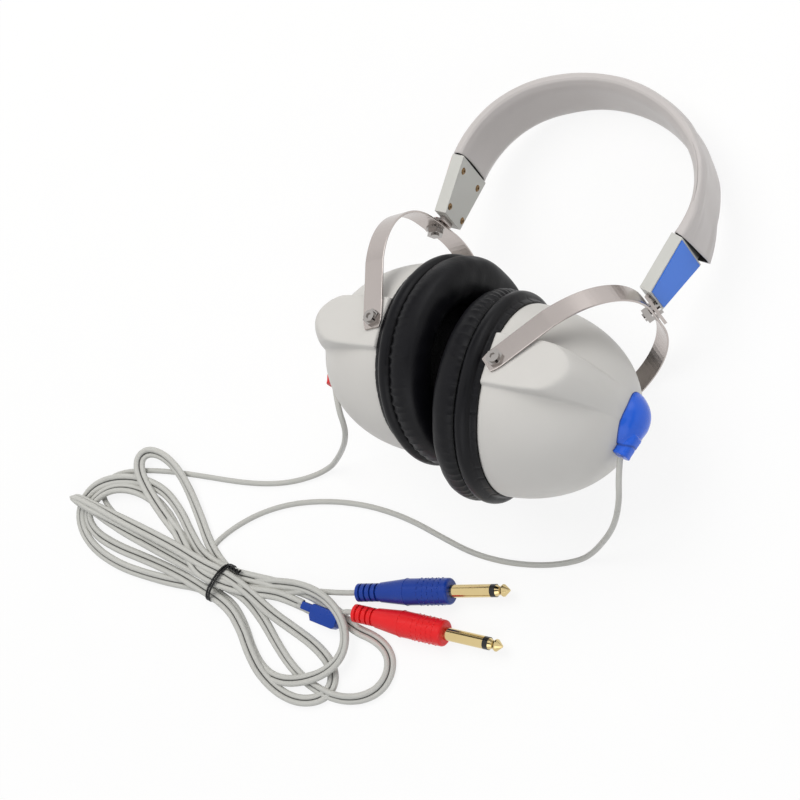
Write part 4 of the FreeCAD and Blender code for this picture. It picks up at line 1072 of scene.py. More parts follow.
def make_cord_clip():
    """Moulded clip round the red lead: a bevelled block with a flat neck."""
    turn = Matrix.Rotation(math.radians(4.0), 4, "Z")
    place = Matrix.Translation((-77.0, -191.9, 0.15)) @ turn
    # the bevel's three levels from an end, and how far each is pulled in
    bevel = ((0.0, CLIP_EDGE), (0.3 * CLIP_EDGE, 0.3 * CLIP_EDGE), (CLIP_EDGE, 0.0))
    points, faces = [], []
    for outline, low, high in CLIP_PARTS:
        first, count = len(points), len(outline)
        rings = [(low + rise, inset) for rise, inset in bevel]
        rings += [(high - rise, inset) for rise, inset in reversed(bevel)]
        middle = sum((Vector(p) for p in outline), Vector((0, 0))) / count
        for level, inset in rings:
            for corner in outline:
                moved = pulled_in(Vector(corner), middle, inset)
                points.append(place @ Vector((moved.x, moved.y, level)))
        faces += [tuple(first + k for k in f) for f in grid_faces(len(rings), count, False, True)]
        faces.append(tuple(first + k for k in reversed(range(count))))
        faces.append(tuple(len(points) - count + k for k in range(count)))
    clip = piece("lead_clip", points, faces, "headband", "clip_blue")
    clip.data.set_sharp_from_angle(angle=math.radians(28))
    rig.replaces(clip, "cord_clip")
    return clip


def tube_piece(name, line):
    """Round cord along points in millimetres, with closed ends, that rides on nothing yet."""
    sides = 20
    points = []
    for n, here in enumerate(line):
        across, over = frame_along(line, n, up=(0.3, 0.1, 1))
        for k in range(sides):
            turn = 2 * math.pi * k / sides
            points.append(here + (across * math.cos(turn) + over * math.sin(turn)) * CORD_RADIUS)
    faces = grid_faces(len(line), sides, False, True)
    faces += end_caps(0, sides, len(points) - 1)
    return piece(name, points, faces, None, "cord_pvc")


# run along a lead where it passes from one joint's bend to the next, and where the last ends
LEAD_BENDS = (26, 58, 130)


def ear_lead(side):
    """Lead in three pieces that join end to end, each bending across one joint."""
    line = [p / MM for p in evenly(line_of("lead_line", COLLARS[side] + LEADS[side]), MM)]
    first, second, third = LEAD_BENDS
    chain = (
        (f"{side}_lead_start", line[: first + 1], f"{side}_cup", f"{side}_yoke", line[first]),
        (f"{side}_lead_fall", line[first : second + 1], f"{side}_yoke", f"{side}_slide", line[second]),
        (f"{side}_ear_lead", line[second:], f"{side}_slide", "headband", line[third]),
    )
    made = []
    for name, run, near, far, until in chain:
        lead = tube_piece(name, run)
        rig.replaces(lead, f"{side}_lead")
        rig.blend(lead, near, far, start=run[0] * MM, end=until * MM)
        made.append(lead)
    path = [p * MM for p in line[second:]]
    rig.cord(
        made[-1],
        exit=path[0],
        length=length_of(path),
        diameter=2 * CORD_RADIUS * MM,
        far_end="object",
        stiffness="limp",
        lay="loose",
        path=path,
        with_pieces=made[:-1],
    )


def make_cords():
    """Both leads, the tied twin cord and the two short leads to the plugs."""
    for side in ("left", "right"):
        ear_lead(side)
    twin_cord()
    on_blue = ["blue_plug_grip"]
    on_red = ["red_plug_grip", "plug_sleeves", "plug_insulators", "plug_tips"]
    for colour, names in (("blue", on_blue), ("red", on_red)):
        plug = [frame["nodes"][name] for name in names]
        round_cord(f"{colour}_plug_lead", TAILS[colour], f"{colour}_tail", plug)


make_cords()

# ---------------------------------------------------------------- ear cups

# middle of each cup's rim, and its turn: local Z out through the dome, X up
CUPS = {
    "left": ((-26.51, -51.01, 54.47), (-0.354239, 0.518786, 0.541427, -0.558779)),
    "right": ((24.2, -52.93, 54.23), (-0.498226, -0.383413, -0.616136, -0.474491)),
}
SHELL_RADIUS, SHELL_DEPTH, SHELL_WALL = 44.5, 56.0, 2.2
# the lobe: its facets' distance, half its width and the crown's three half sizes
FACET, LOBE_HALF = 45.75, 12.6
CROWN_HALF, CROWN_REACH, CROWN_RISE = 24.0, 64.0, 55.2
# middle of the lobes across each shell
LOBE_MIDDLE = {"left": 0.2, "right": 1.9}


def cup_place(side):
    at, turn = CUPS[side]
    return Matrix.LocRotScale(Vector(at), Quaternion(turn), None)


def soft_least(a, b, blend):
    """The smaller of two values, rounded where they meet."""
    return 0.5 * (a + b - math.sqrt((a - b) ** 2 + blend**2))


def soft_most(a, b, blend):
    """The larger of two values, rounded where they meet."""
    return 0.5 * (a + b + math.sqrt((a - b) ** 2 + blend**2))


def shell_reach(ray, middle):
    """Distance from the rim's middle to the moulding's skin along a direction."""
    flat = ray.x**2 + ray.y**2
    dome = 1 / math.sqrt(flat / SHELL_RADIUS**2 + ray.z**2 / SHELL_DEPTH**2)
    # the lobe's crown, then its two flat facets and its two converging sides
    a = (ray.x / CROWN_HALF) ** 2 + (ray.y / CROWN_REACH) ** 2 + (ray.z / CROWN_RISE) ** 2
    b = -2 * ray.x * middle / CROWN_HALF**2
    c = (middle / CROWN_HALF) ** 2 - 1
    lobe = (-b + math.sqrt(b * b - 4 * a * c)) / (2 * a)
    lobe = soft_least(lobe, FACET / max(abs(ray.y), 1e-4), 1.3)
    for _ in range(3):
        # the sides bow in towards the pole, where the lobe fades into the dome
        wide = LOBE_HALF * math.sqrt(max(0.02, 1 - (lobe * ray.z / 58.0) ** 3))
        for edge in (middle - wide, middle + wide):
            if ray.x * edge > 1e-6:
                lobe = soft_least(lobe, edge / ray.x, 1.2)
    return soft_most(dome, lobe, 1.5)


def shell_skin(middle, steps, rings):
    """Outer points of the moulding, ring by ring, with its pole last."""
    points = []
    for n in range(rings):
        high = (n / rings) * math.pi / 2
        edge = 0.35 * max(0.0, 1 - n / 2.0)  # the rim's corner is rounded
        for k in range(steps):
            angle = 2 * math.pi * k / steps
            flat = math.cos(high)
            ray = Vector((flat * math.cos(angle), flat * math.sin(angle), math.sin(high)))
            points.append(ray * (shell_reach(ray, middle) - edge))
    pole = Vector((0, 0, 1))
    return points + [pole * shell_reach(pole, middle)]


def shell_lining(steps, rings):
    """Inner points of the moulding, a plain dome, with its pole last."""
    deep = SHELL_DEPTH - SHELL_WALL
    points = []
    for n in range(rings):
        high = (n / rings) * math.pi / 2
        wide = (SHELL_RADIUS - SHELL_WALL) * math.cos(high)
        for k in range(steps):
            angle = 2 * math.pi * k / steps
            points.append(Vector((wide * math.cos(angle), wide * math.sin(angle), deep * math.sin(high))))
    return points + [Vector((0, 0, deep))]


def make_shell(side):
    """Moulded shell with soft edges where the lobes run into the dome."""
    place = cup_place(side)
    steps, rings, inner_rings = 420, 96, 24
    points = shell_skin(LOBE_MIDDLE[side], steps, rings)
    first = len(points)
    points += shell_lining(steps, inner_rings)
    ahead = [(k + 1) % steps for k in range(steps)]
    faces = grid_faces(rings, steps, False, True)
    last = (rings - 1) * steps
    faces += [(last + k, last + ahead[k], first - 1) for k in range(steps)]
    for face in grid_faces(inner_rings, steps, False, True):
        faces.append(tuple(first + k for k in reversed(face)))
    last = first + (inner_rings - 1) * steps
    faces += [(last + ahead[k], last + k, len(points) - 1) for k in range(steps)]
    faces += [(k, first + k, first + ahead[k], ahead[k]) for k in range(steps)]
    points = [place @ p for p in points]
    shell = piece(f"{side}_shell", points, faces, f"{side}_cup", "shell_abs")
    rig.replaces(shell, f"{side}_cup_shell")


def skin_height(x, y, middle):
    """Height of the shell's skin over a point near its pole."""
    high = SHELL_DEPTH
    for _ in range(5):
        ray = Vector((x, y, high))
        reach = shell_reach(ray.normalized(), middle)
        high = math.sqrt(max(1.0, reach**2 - x * x - y * y))
    return high


# the cap, a teardrop on the dome: middle, half its length and width, height and depth
CAP_MIDDLE, CAP_LONG, CAP_WIDE, CAP_RISE, CAP_SUNK = -1.8, 14.2, 11.6, 6.2, 1.2
# the collar that leaves it: tilt, length, half its width at the root and what it loses
COLLAR_LEAN, COLLAR_LONG, COLLAR_ROOT, COLLAR_NARROWS = math.radians(12), 10.5, 4.7, 0.8
COLLAR_LIP = 0.12
COLLAR_END = Vector((-18.2, 0, SHELL_DEPTH - 1.5))
# the remeshed skin's cell, and the depth of the step round the collar's root
SKIN_CELL, STEP_DEEP = 0.42, 0.28


def boot_cap(middle):
    """Points and faces of the cap: a domed top and an underside sunk in the shell."""
    steps, rings = 72, 22
    points, faces = [], []
    for under in (False, True):
        for n in range(rings + 1):
            out = 1 - n / rings
            for k in range(steps):
                angle = 2 * math.pi * k / steps
                narrow = 1 - 0.2 * max(0.0, -math.cos(angle)) ** 2
                x = CAP_MIDDLE + CAP_LONG * out * math.cos(angle)
                y = CAP_WIDE * narrow * out * math.sin(angle)
                proud = -CAP_SUNK if under else CAP_RISE * (1 - out**2.4) ** 0.6 - 0.2
                points.append(Vector((x, y, skin_height(x, y, middle) + proud)))
    block = (rings + 1) * steps
    grid = grid_faces(rings + 1, steps, False, True)
    faces += grid
    faces += [tuple(block + k for k in reversed(face)) for face in grid]
    for k in range(steps):
        ahead = (k + 1) % steps
        faces.append((k, block + k, block + ahead, ahead))
    return points, faces


def boot_collar():
    """Points and faces of the squarish collar, which ends in a small lip."""
    along = Vector((-math.cos(COLLAR_LEAN), 0, -math.sin(COLLAR_LEAN)))
    up = Vector((-math.sin(COLLAR_LEAN), 0, math.cos(COLLAR_LEAN)))
    steps, sides, square = 16, 32, 0.62
    points = []
    for n in range(steps + 1):
        share = n / steps
        here = COLLAR_END - along * (COLLAR_LONG * (1 - share))
        half = COLLAR_ROOT - COLLAR_NARROWS * min(1.0, share * 1.25) + COLLAR_LIP * (share > 0.9)
        for k in range(sides):
            angle = 2 * math.pi * k / sides
            c, q = math.cos(angle), math.sin(angle)
            beside = Vector((0, math.copysign(abs(c) ** square, c), 0))
            points.append(here + (beside + up * math.copysign(abs(q) ** square, q)) * half)
    faces = grid_faces(steps + 1, sides, False, True)
    return points, faces + end_caps(0, sides, len(points) - 1)


def boot_skin(points, faces):
    """One soft skin over the cap and the collar."""
    mesh = bpy.data.meshes.new("boot_blank")
    mesh.from_pydata([tuple(p) for p in points], [], faces)
    blank = bpy.data.objects.new("boot_blank", mesh)
    bpy.context.scene.collection.objects.link(blank)
    skin = blank.modifiers.new("skin", "REMESH")
    skin.mode = "VOXEL"
    skin.voxel_size = SKIN_CELL
    relax = blank.modifiers.new("relax", "SMOOTH")
    relax.iterations = 7
    relax.factor = 0.5
    seen = blank.evaluated_get(bpy.context.evaluated_depsgraph_get())
    made = bpy.data.meshes.new_from_object(seen)
    bpy.data.objects.remove(blank)
    return made


def make_boot(side, slot):
    """Soft moulded boot: a teardrop cap on the dome that runs into a squarish collar."""
    middle = LOBE_MIDDLE[side]
    points, faces = boot_cap(middle)
    first = len(points)
    collar_points, collar_faces = boot_collar()
    points += collar_points
    faces += [tuple(first + k for k in face) for face in collar_faces]
    made = boot_skin(points, faces)
    place = cup_place(side)
    spots, painted_shade = [], []
    for v in made.vertices:
        p = v.co.copy()
        # the step where the collar leaves the cap, with painted shade in it, and painted shade along the cap's edge
        # where it meets the dome
        step = bump_at(p.x, -13.4 - 0.05 * p.y * p.y, 0.45) * (p.z > SHELL_DEPTH - 6.0)
        p -= v.normal * STEP_DEEP * step
        over = p.z - skin_height(p.x, p.y, middle)
        painted_shade.append(min(1.0, 0.55 * step + 0.85 * max(0.0, 1 - max(0.0, over) / 0.75)))
        spots.append(place @ p)
    faces = [tuple(f.vertices) for f in made.polygons]
    bpy.data.meshes.remove(made)
    boot = piece(f"{side}_boot", spots, faces, f"{side}_cup", slot, painted_shade=painted_shade)
    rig.replaces(boot, f"{side}_cord_boot")


for side, colour in (("left", "boot_red"), ("right", "boot_blue")):
    make_shell(side)
    make_boot(side, colour)

# ---------------------------------------------------------------- ear cushions


def cloth_ring(name, side, profile, slot, shape, around=480, steps=5, hold=None):
    """A closed ring of cloth round the cup from (radius, depth) corners, shaped by a rule.

    shape gives each point's move along the skin's normal and its painted shade;
    hold moves a finished point clear of the other cushion.
    """
    section = through(profile, steps)
    place = cup_place(side)
    points, painted_shade = [], []
    for n in range(around):
        angle = 2 * math.pi * n / around
        turned = Vector((math.cos(angle), math.sin(angle), 0))
        for k, corner in enumerate(section):
            ahead = section[(k + 1) % len(section)] - section[k - 1]
            outwards = Vector((ahead.y, -ahead.x)).normalized()
            reach, dark = shape(angle, k / len(section), corner)
            moved = corner + outwards * reach
            spot = place @ (turned * moved.x + Vector((0, 0, moved.y)))
            points.append(hold(spot) if hold else spot)
            painted_shade.append(dark)
    faces = grid_faces(around, len(section), True, True)
    return piece(name, points, faces, f"{side}_cup", slot, painted_shade=painted_shade)


# the two cushions press on each other low down, along this plane
PRESS_AT, PRESS_OUT = Vector((0.76, -53.4, 15.37)), Vector((0.97, 0.22, 0.036)).normalized()


def pressed(side):
    """Keeps one side's points on its own side of the plane between the cushions."""
    sign = -1 if side == "left" else 1

    def hold(spot):
        off = sign * (spot - PRESS_AT).dot(PRESS_OUT)
        return spot + PRESS_OUT * sign * (soft_most(off, 0.3, 0.5) - off)

    return hold


def wrapped(angle):
    """An angle's distance from zero, from minus half a turn to half a turn."""
    return (angle + math.pi) % (2 * math.pi) - math.pi


# (radius, depth) corners; the groove is the seam between the pillow and the roll
GROOVE = Vector((46.6, -10.5))
PILLOW_SEAT, PILLOW_FILL, PILLOW_KEPT = -10.4, 0.85, 0.5
PILLOW = [
    (46.2, -10.5),
    (47.4, -10.9),
    (48.5, -12.6),
    (48.9, -15.4),
    (48.3, -18.4),
    (46.6, -21.1),
    (43.4, -22.8),
    (39.0, -23.3),
    (34.4, -22.7),
    (30.6, -20.8),
    (27.9, -17.8),
    (26.7, -14.2),
    (26.7, -11.9),
    (27.7, -10.5),
    (33.0, -10.4),
    (40.0, -10.4),
]
ROLL = [
    (44.4, -0.1),
    (45.2, -0.5),
    (45.6, -1.6),
    (46.0, -2.9),
    (47.4, -3.7),
    (48.8, -5.2),
    (49.2, -6.9),
    (48.8, -8.6),
    (47.6, -9.8),
    (46.2, -10.3),
    (44.0, -10.3),
    (38.0, -10.2),
    (31.5, -10.1),
    (30.2, -9.0),
    (30.0, -5.0),
    (30.3, -0.7),
    (32.0, -0.2),
    (38.0, -0.15),
]
SCREEN = [
    (0.4, -3.3),
    (8.0, -3.4),
    (16.0, -3.6),
    (24.0, -4.0),
    (28.0, -4.0),
    (29.5, -3.3),
    (29.6, -1.6),
    (28.6, -1.1),
    (16.0, -1.05),
    (0.4, -1.05),
]


def draw_gathers(dice, drawn):
    """Gathers round the seam: (angle, depth, reach, sway) of each."""
    gathers, angle = [], 0.0
    while angle < 2 * math.pi - 0.03:
        pulls = (deep * bump_at(wrapped(angle - at), 0.0, spread) for at, spread, deep in drawn)
        depth = 0.08 + sum(pulls)
        reach = dice.uniform(3.0, 6.0) + 4.0 * min(1.0, depth)
        gathers.append((angle, depth * dice.uniform(0.4, 1.0), reach, dice.uniform(-1, 1)))
        angle += dice.uniform(0.055, 0.11)
    return gathers


def draw_tucks(dice):
    """Tucks where the roll is pulled over the rim: (angle, depth, width) of each."""
    tucks, angle = [], 0.0
    while angle < 2 * math.pi - 0.05:
        tucks.append((angle, dice.uniform(0.3, 1.0), dice.uniform(0.006, 0.012)))
        angle += dice.uniform(0.09, 0.2)
    return tucks


def gathered(gathers, angle, run):
    """Depth of the gathers at an angle, run millimetres away from the seam."""
    deep = 0.0
    for place, depth, reach, sway in gathers:
        gap = abs(wrapped(angle - place - 0.012 * sway * run / 4))
        if gap < 0.1 and run < reach:
            deep += depth * (1 - run / reach) ** 0.7 * math.exp(-((gap / 0.021) ** 1.4))
    return deep


def make_pillow(side, gathers, shift):
    """Soft pillow of foam in leathercloth, which touches the head."""

    def shape(angle, share, corner):
        at = Vector((math.cos(angle) * 3, math.sin(angle) * 3, share * 4)) + shift
        run = (corner - GROOVE).length
        outside = corner.x > 40 and corner.y > -23.0
        soft = 0.5 * noise.noise(at * 0.8) + 0.15 * noise.noise(at * 2.3)
        deep = gathered(gathers, angle, max(0.0, run - 0.8)) if outside else 0.0
        inner = max(0.0, 1 - abs(corner.x - 27.0) / 3.0)
        deep += 0.45 * inner * gathered(gathers, angle + 0.4, 1.0)
        seam = max(0.0, 1 - run / 1.6)
        # the second value is painted shade, dark along the seam and in the gathers' valleys
        return soft * min(1.0, run / 6) - 1.1 * deep, min(1.0, 0.9 * seam + 0.3 * deep)

    pillow = cloth_ring(
        f"{side}_cushion_cover",
        side,
        PILLOW,
        "cushion_vinyl",
        shape,
        around=900,
        hold=pressed(side),
    )
    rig.replaces(pillow, f"{side}_ear_cushion")
    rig.padded(pillow, fill=PILLOW_FILL)
    place = cup_place(side)
    towards_shell = place.to_3x3() @ Vector((0, 0, 1))
    seat = (place @ Vector((0, 0, PILLOW_SEAT))) * MM
    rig.squash(pillow, f"{side}_cup_tilt", axis=towards_shell, anchor=seat, keep=PILLOW_KEPT)


def make_roll(side, gathers, tucks, shift):
    """Roll of leathercloth pulled over the shell's rim, tucked where it turns under."""

    def shape(angle, share, corner):
        at = Vector((math.cos(angle) * 3, math.sin(angle) * 3, share)) + shift
        soft = 0.25 * noise.noise(at * 1.0)
        if corner.x <= 44:
            return soft, 0.0
        deep = sum(depth * bump_at(wrapped(angle - place), 0.0, wide) for place, depth, wide in tucks)
        reach = soft + 0.55 * bump_at(corner.y, -1.4, 1.5) * deep
        reach -= 0.22 * bump_at(corner.y, -9.6, 1.6) * gathered(gathers, angle, 0.5)
        # painted shade along the seam at the groove and where the roll meets the shell's rim
        seam = max(bump_at(corner.y, -10.4, 0.55), bump_at(corner.y, 0.0, 0.5))
        return reach, min(1.0, 0.9 * seam)

    roll = cloth_ring(f"{side}_cushion_base", side, ROLL, "ring_vinyl", shape)
    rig.replaces(roll, f"{side}_cushion_ring")


def make_screen(side, shift):
    """Thin foam over the receiver, slightly sunk in the middle."""

    def shape(angle, share, corner):
        at = Vector((math.cos(angle), math.sin(angle), 0)) * corner.x * 0.12 + shift
        return 0.2 * noise.noise(at), 0.0

    screen = cloth_ring(
        f"{side}_ear_screen", side, SCREEN, "black_foam", shape, around=96, steps=3
    )
    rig.replaces(screen, f"{side}_screen_foam")


def make_cushion(side, seed, drawn):
    """A roll on the shell's rim, a pillow on it and a screen over the receiver.

    drawn lists where the cloth is gathered: (angle round the cup, spread, depth).
    """
    dice = random.Random(seed)
    gathers = draw_gathers(dice, drawn)
    shift = Vector((dice.uniform(-9, 9), dice.uniform(-9, 9), 0))
    make_pillow(side, gathers, shift)
    make_roll(side, gathers, draw_tucks(dice), shift)
    make_screen(side, shift)


make_cushion("left", 11, [(4.25, 0.75, 0.95), (3.2, 0.5, 0.35)])
make_cushion("right", 23, [(0.8, 0.4, 0.95), (1.8, 0.7, 0.4), (2.9, 0.5, 0.3)])

# ---------------------------------------------------------------- headband sheath

# the band lies tilted back on its crown; its arch is three arcs
LAID = Matrix.Translation((-1.347, 38.97, 29.917)) @ Matrix.Rotation(math.radians(-14.8154), 4, "X")
# half the arch's width, its height, the lean of its ends and half the crown arc's angle
BAND_HALF, BAND_RISE = 61.9, 59.3
BAND_LEAN, CROWN = math.radians(7.4), math.radians(35.0)
# the sleeve: half its width and thickness, its wall, and its welt's place, size and spread
SHEATH_HALF, SHEATH_THICK, SHEATH_WALL = 15.0, 3.85, 1.1
WELT_IN, WELT_PROUD, WELT_SPREAD = 0.9, 0.5, 0.7


def band_line(share):
    """Point, outward and lengthwise directions of the band's middle line, share from -1 to 1."""
    side = (BAND_RISE * math.sin(CROWN) - BAND_HALF * (1 - math.cos(CROWN))) / (
        (1 + math.sin(BAND_LEAN)) * math.sin(CROWN) - math.cos(BAND_LEAN) * (1 - math.cos(CROWN))
    )
    gain = (BAND_HALF - side * math.cos(BAND_LEAN)) / math.sin(CROWN)
    top = Vector((0, BAND_RISE - side - gain, 0))
    flank = side * (math.pi / 2 + BAND_LEAN - CROWN)
    total = (side + gain) * CROWN + flank
    run, sign = abs(share) * total, 1 if share >= 0 else -1
    if run <= (side + gain) * CROWN:
        angle = run / (side + gain)
        centre, radius = top, side + gain
    else:
        angle = CROWN + (run - (side + gain) * CROWN) / side
        centre = top + Vector((sign * math.sin(CROWN), math.cos(CROWN), 0)) * gain
        radius = side
    out = Vector((sign * math.sin(angle), math.cos(angle), 0))
    return centre + out * radius, out, Vector((sign * math.cos(angle), -math.sin(angle), 0))


def sheath_section(half, thick, welt):
    """(across, outwards) corners of the flattened sleeve, with a welt along its inner edges."""
    line = []
    steps = 132
    for n in range(steps):
        angle = 2 * math.pi * n / steps
        c, s = math.cos(angle), math.sin(angle)
        across, off = math.copysign(abs(c) ** 0.4, c), math.copysign(abs(s) ** 0.55, s)
        at = Vector((half * across, thick * off))
        corner = Vector((math.copysign(half - WELT_IN, c), -thick + WELT_IN))
        outwards = Vector((at.x / half, at.y / thick)).normalized()
        line.append(at + outwards * welt * bump_at((at - corner).length, 0.0, WELT_SPREAD))
    return line


def slack_at(share):
    """How loose the sleeve is: its right half is slack, its left half nearly tight."""
    return 1.0 if share > 0 else 0.25


def outer_crease(share, across):
    """Hollows and folds of the sleeve's outer face, which deepen to its slack right end."""
    slack = slack_at(share)
    wide = Vector((share * 2.1, across * 0.28, 3.0))
    narrow = Vector((share * 3.3, across * 0.75, 8.0))
    crease = 0.55 * noise.noise(wide) + 0.35 * noise.noise(narrow)
    crease -= 0.9 * bump_at(share, 0.52, 0.1) * slack
    crease -= 1.5 * bump_at(share, 0.74, 0.12) * slack
    valley = 4.5 + 4.0 * math.sin(share * 4.2)
    crease -= 0.8 * bump_at(across, valley, 1.5) * max(0.0, share - 0.3)
    crease -= 0.6 * bump_at(across, valley - 8.0, 1.2) * max(0.0, share - 0.45)
    return soft_most(crease, -1.0, 0.3)


def inner_crease(share, across):
    """Shallow waves of the sleeve's inner face."""
    crease = -0.35 * noise.noise(Vector((share * 2.6, across * 0.13, 5.0)))
    return crease + 0.3 * bump_at(share, 0.08, 0.16) * bump_at(across, 2.0 + 9 * share, 2.2)


def sheath_point(share, across, off):
    """Where a point of the flattened sleeve lies; across and off are from its middle."""
    at, out, along = band_line(share)
    flare = max(0.0, (abs(share) - 0.8) / 0.2) ** 1.5
    crease = 0.0
    if off > 0.5:
        crease = outer_crease(share, across)
    elif off < -0.5:
        crease = inner_crease(share, across)
    edge = max(0.0, abs(across) - 13.2) / 1.8
    sway = 0.35 * noise.noise(Vector((share * 4.0, 1.0 if across > 0 else 5.0, 2.0))) * edge
    # the mouth stands open, most at its back edge
    loose = slack_at(share)
    open_share = 0.5 * (1 + math.tanh((off - 0.6) / 1.2))
    open_out = flare * loose * (open_share * (2.7 - 2.2 * across / SHEATH_HALF) - 0.4)
    longer = -flare * loose * open_share * (0.6 - 0.9 * across / SHEATH_HALF)
    if off < 0:
        # the inner face is crowned: it falls back towards its long edges
        off *= 1 - (0.72 if across > 0 else 0.4) * (abs(across) / SHEATH_HALF) ** 5
    moved = out * (off + crease * (1 - 0.4 * flare) + open_out + sway)
    return LAID @ (at + moved + Vector((0, 0, across + sway)) + along * longer)


def make_sheath():
    """Flattened soft tube, creased lengthwise, with rolled edges and open mouths."""
    lengths = 240
    thin, half = SHEATH_WALL, SHEATH_WALL / 2
    outer = sheath_section(SHEATH_HALF, SHEATH_THICK, WELT_PROUD)
    lining = sheath_section(SHEATH_HALF - thin, SHEATH_THICK - thin, 0.0)
    lip = sheath_section(SHEATH_HALF - half, SHEATH_THICK - half, 0.1)
    shares = [-1 + 2 * n / lengths for n in range(lengths + 1)]
    # out along the outside, round one mouth, back along the lining, round the other mouth
    # the last value of each ring is painted shade: none outside, slight on the lips, deep on the lining inside
    rings = [(share, outer, 0.0) for share in shares]
    rings.append((1.002, lip, 0.1))
    rings += [(share, lining, 0.96) for share in reversed(shares)]
    rings.append((-1.002, lip, 0.1))
    points, painted_shade = [], []
    for share, section, dark in rings:
        points += [sheath_point(share, across, off) for across, off in section]
        painted_shade += [dark] * len(section)
    faces = grid_faces(len(rings), len(outer), True, True)
    sleeve = piece("headband_sleeve", points, faces, "headband", "sheath_pvc", painted_shade=painted_shade)
    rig.replaces(sleeve, "headband_sheath")


make_sheath()

# ---------------------------------------------------------------- yokes

# each yoke's place under its swivel screw: origin, X along the swivel, Y along the pivots
YOKES = {
    "left": ((-63.308, 5.623, 38.716), (-0.4832, 0.84636, -0.22403), (0.16589, -0.16274, -0.97262)),
    "right": ((60.608, 5.623, 38.759), (0.48336, 0.84636, -0.22369), (-0.00034, 0.2557, 0.96675)),
}
# half the span, half the flat under the screw, the drop to the pivots and the foot below
STRAP_HALF, STRAP_FLAT, STRAP_DROP, STRAP_FOOT = 46.8, 8.5, 66.9, 5.0
STRAP_THICK, STRAP_WIDE = 1.0, 9.8


# how far a leg leans out at its bend line, its cut-off corners, and the worn flat's height
STRAP_LEAN, STRAP_EDGE, STRAP_LOWEST = 1.1, 0.16, 0.02


def strap_line():
    """The strip's middle line from one foot to the other, as (along the swivel, beside it)."""
    corner = STRAP_HALF - STRAP_FLAT
    drop = STRAP_DROP + STRAP_FOOT
    line = []
    for n in range(13):
        share = n / 12
        line.append((-drop + (drop - corner) * share, STRAP_HALF + STRAP_LEAN * max(0.0, share - 0.15)))
    for n in range(1, 25):
        turn = math.pi / 2 * n / 24
        lean = 0.93 * math.exp(-corner * turn / 9.0)
        along = -corner + (corner + 0.4 * lean) * math.sin(turn)
        line.append((along, STRAP_FLAT + (corner + lean) * math.cos(turn)))
    return line + [(x, -y) for x, y in reversed(line)]


def strap_section():
    """Corners of the strip, each of them cut off a little."""
    half, flat, edge = STRAP_WIDE / 2, STRAP_THICK / 2, STRAP_EDGE
    near = [(half - edge, flat), (half, flat - edge), (half, -flat + edge), (half - edge, -flat)]
    return near + [(-x, y) for x, y in reversed(near)]


def make_strap(side):
    """Bent strip with softened edges; each leg leans out a little up to its bend line."""
    origin, ahead, beside = (Vector(v) for v in YOKES[side])
    across = ahead.cross(beside).normalized()
    line, section = strap_line(), strap_section()
    points = []
    for n, (x, y) in enumerate(line):
        x0, y0 = line[max(n - 1, 0)]
        x1, y1 = line[min(n + 1, len(line) - 1)]
        way = Vector((x1 - x0, y1 - y0)).normalized()
        out = ahead * -way.y + beside * way.x
        # the foot's corners are rounded
        end = min(n, len(line) - 1 - n)
        narrow = {0: 0.78, 1: 0.95}.get(end, 1.0)
        for wide, off in section:
            spot = origin + ahead * x + beside * y + across * wide * narrow - out * off
            # the shoulder is worn flat where the headset rests on it
            spot.z = max(spot.z, STRAP_LOWEST)
            points.append(spot)
    count = len(section)
    faces = grid_faces(len(line), count, False, True) + end_caps(0, count, len(points) - 1)
    strap = piece(f"{side}_strap", points, faces, f"{side}_yoke", "stainless")
    strap.data.set_sharp_from_angle(angle=math.radians(3.5))
    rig.replaces(strap, f"{side}_yoke")


make_strap("left")
make_strap("right")



# ---------------------------------------------------------------- plug grips

# start of each grip's strain relief, and the way it points
PLUGS = {
    "blue": ((-47.4, -172.9, 6.55), (0.9198215, 0.3923371, 0.0), "grip_blue"),
    "red": ((-45.0, -182.6, 6.55), (0.9795752, 0.2010779, 0.0), "grip_red"),
}
# lengths of the strain relief, the grip and its taper, and the grip's radius
RELIEF, GRIP, TAPER, GRIP_RADIUS = 13.0, 38.8, 14.5, 6.5
# rows of ribs, ribs in a row, the gap from row to row, and the first row's place
RIB_ROWS, RIBS_ROUND, RIB_ROW_GAP, RIBS_FROM_END = 5, 15, 2.9, 16.2
# a rib's length round the grip, its width along it, its height, and how deep it is set
RIB_LONG, RIB_WIDE, RIB_TALL, RIB_SUNK = 1.9, 0.62, 0.75, 0.05
# the height over the floor at which a rib is pressed flat, and the ring's own radius
RIB_LOWEST, RING_RADIUS = 0.03, 0.28
RIB_SOCKETS = {
    "Rows": "NodeSocketInt",
    "Ribs": "NodeSocketInt",
    "Row Gap": "NodeSocketFloat",
    "First Row": "NodeSocketFloat",
    "Radius": "NodeSocketFloat",
    "Rib Length": "NodeSocketFloat",
    "Rib Width": "NodeSocketFloat",
    "Rib Height": "NodeSocketFloat",
    "Ring Place": "NodeSocketFloat",
}


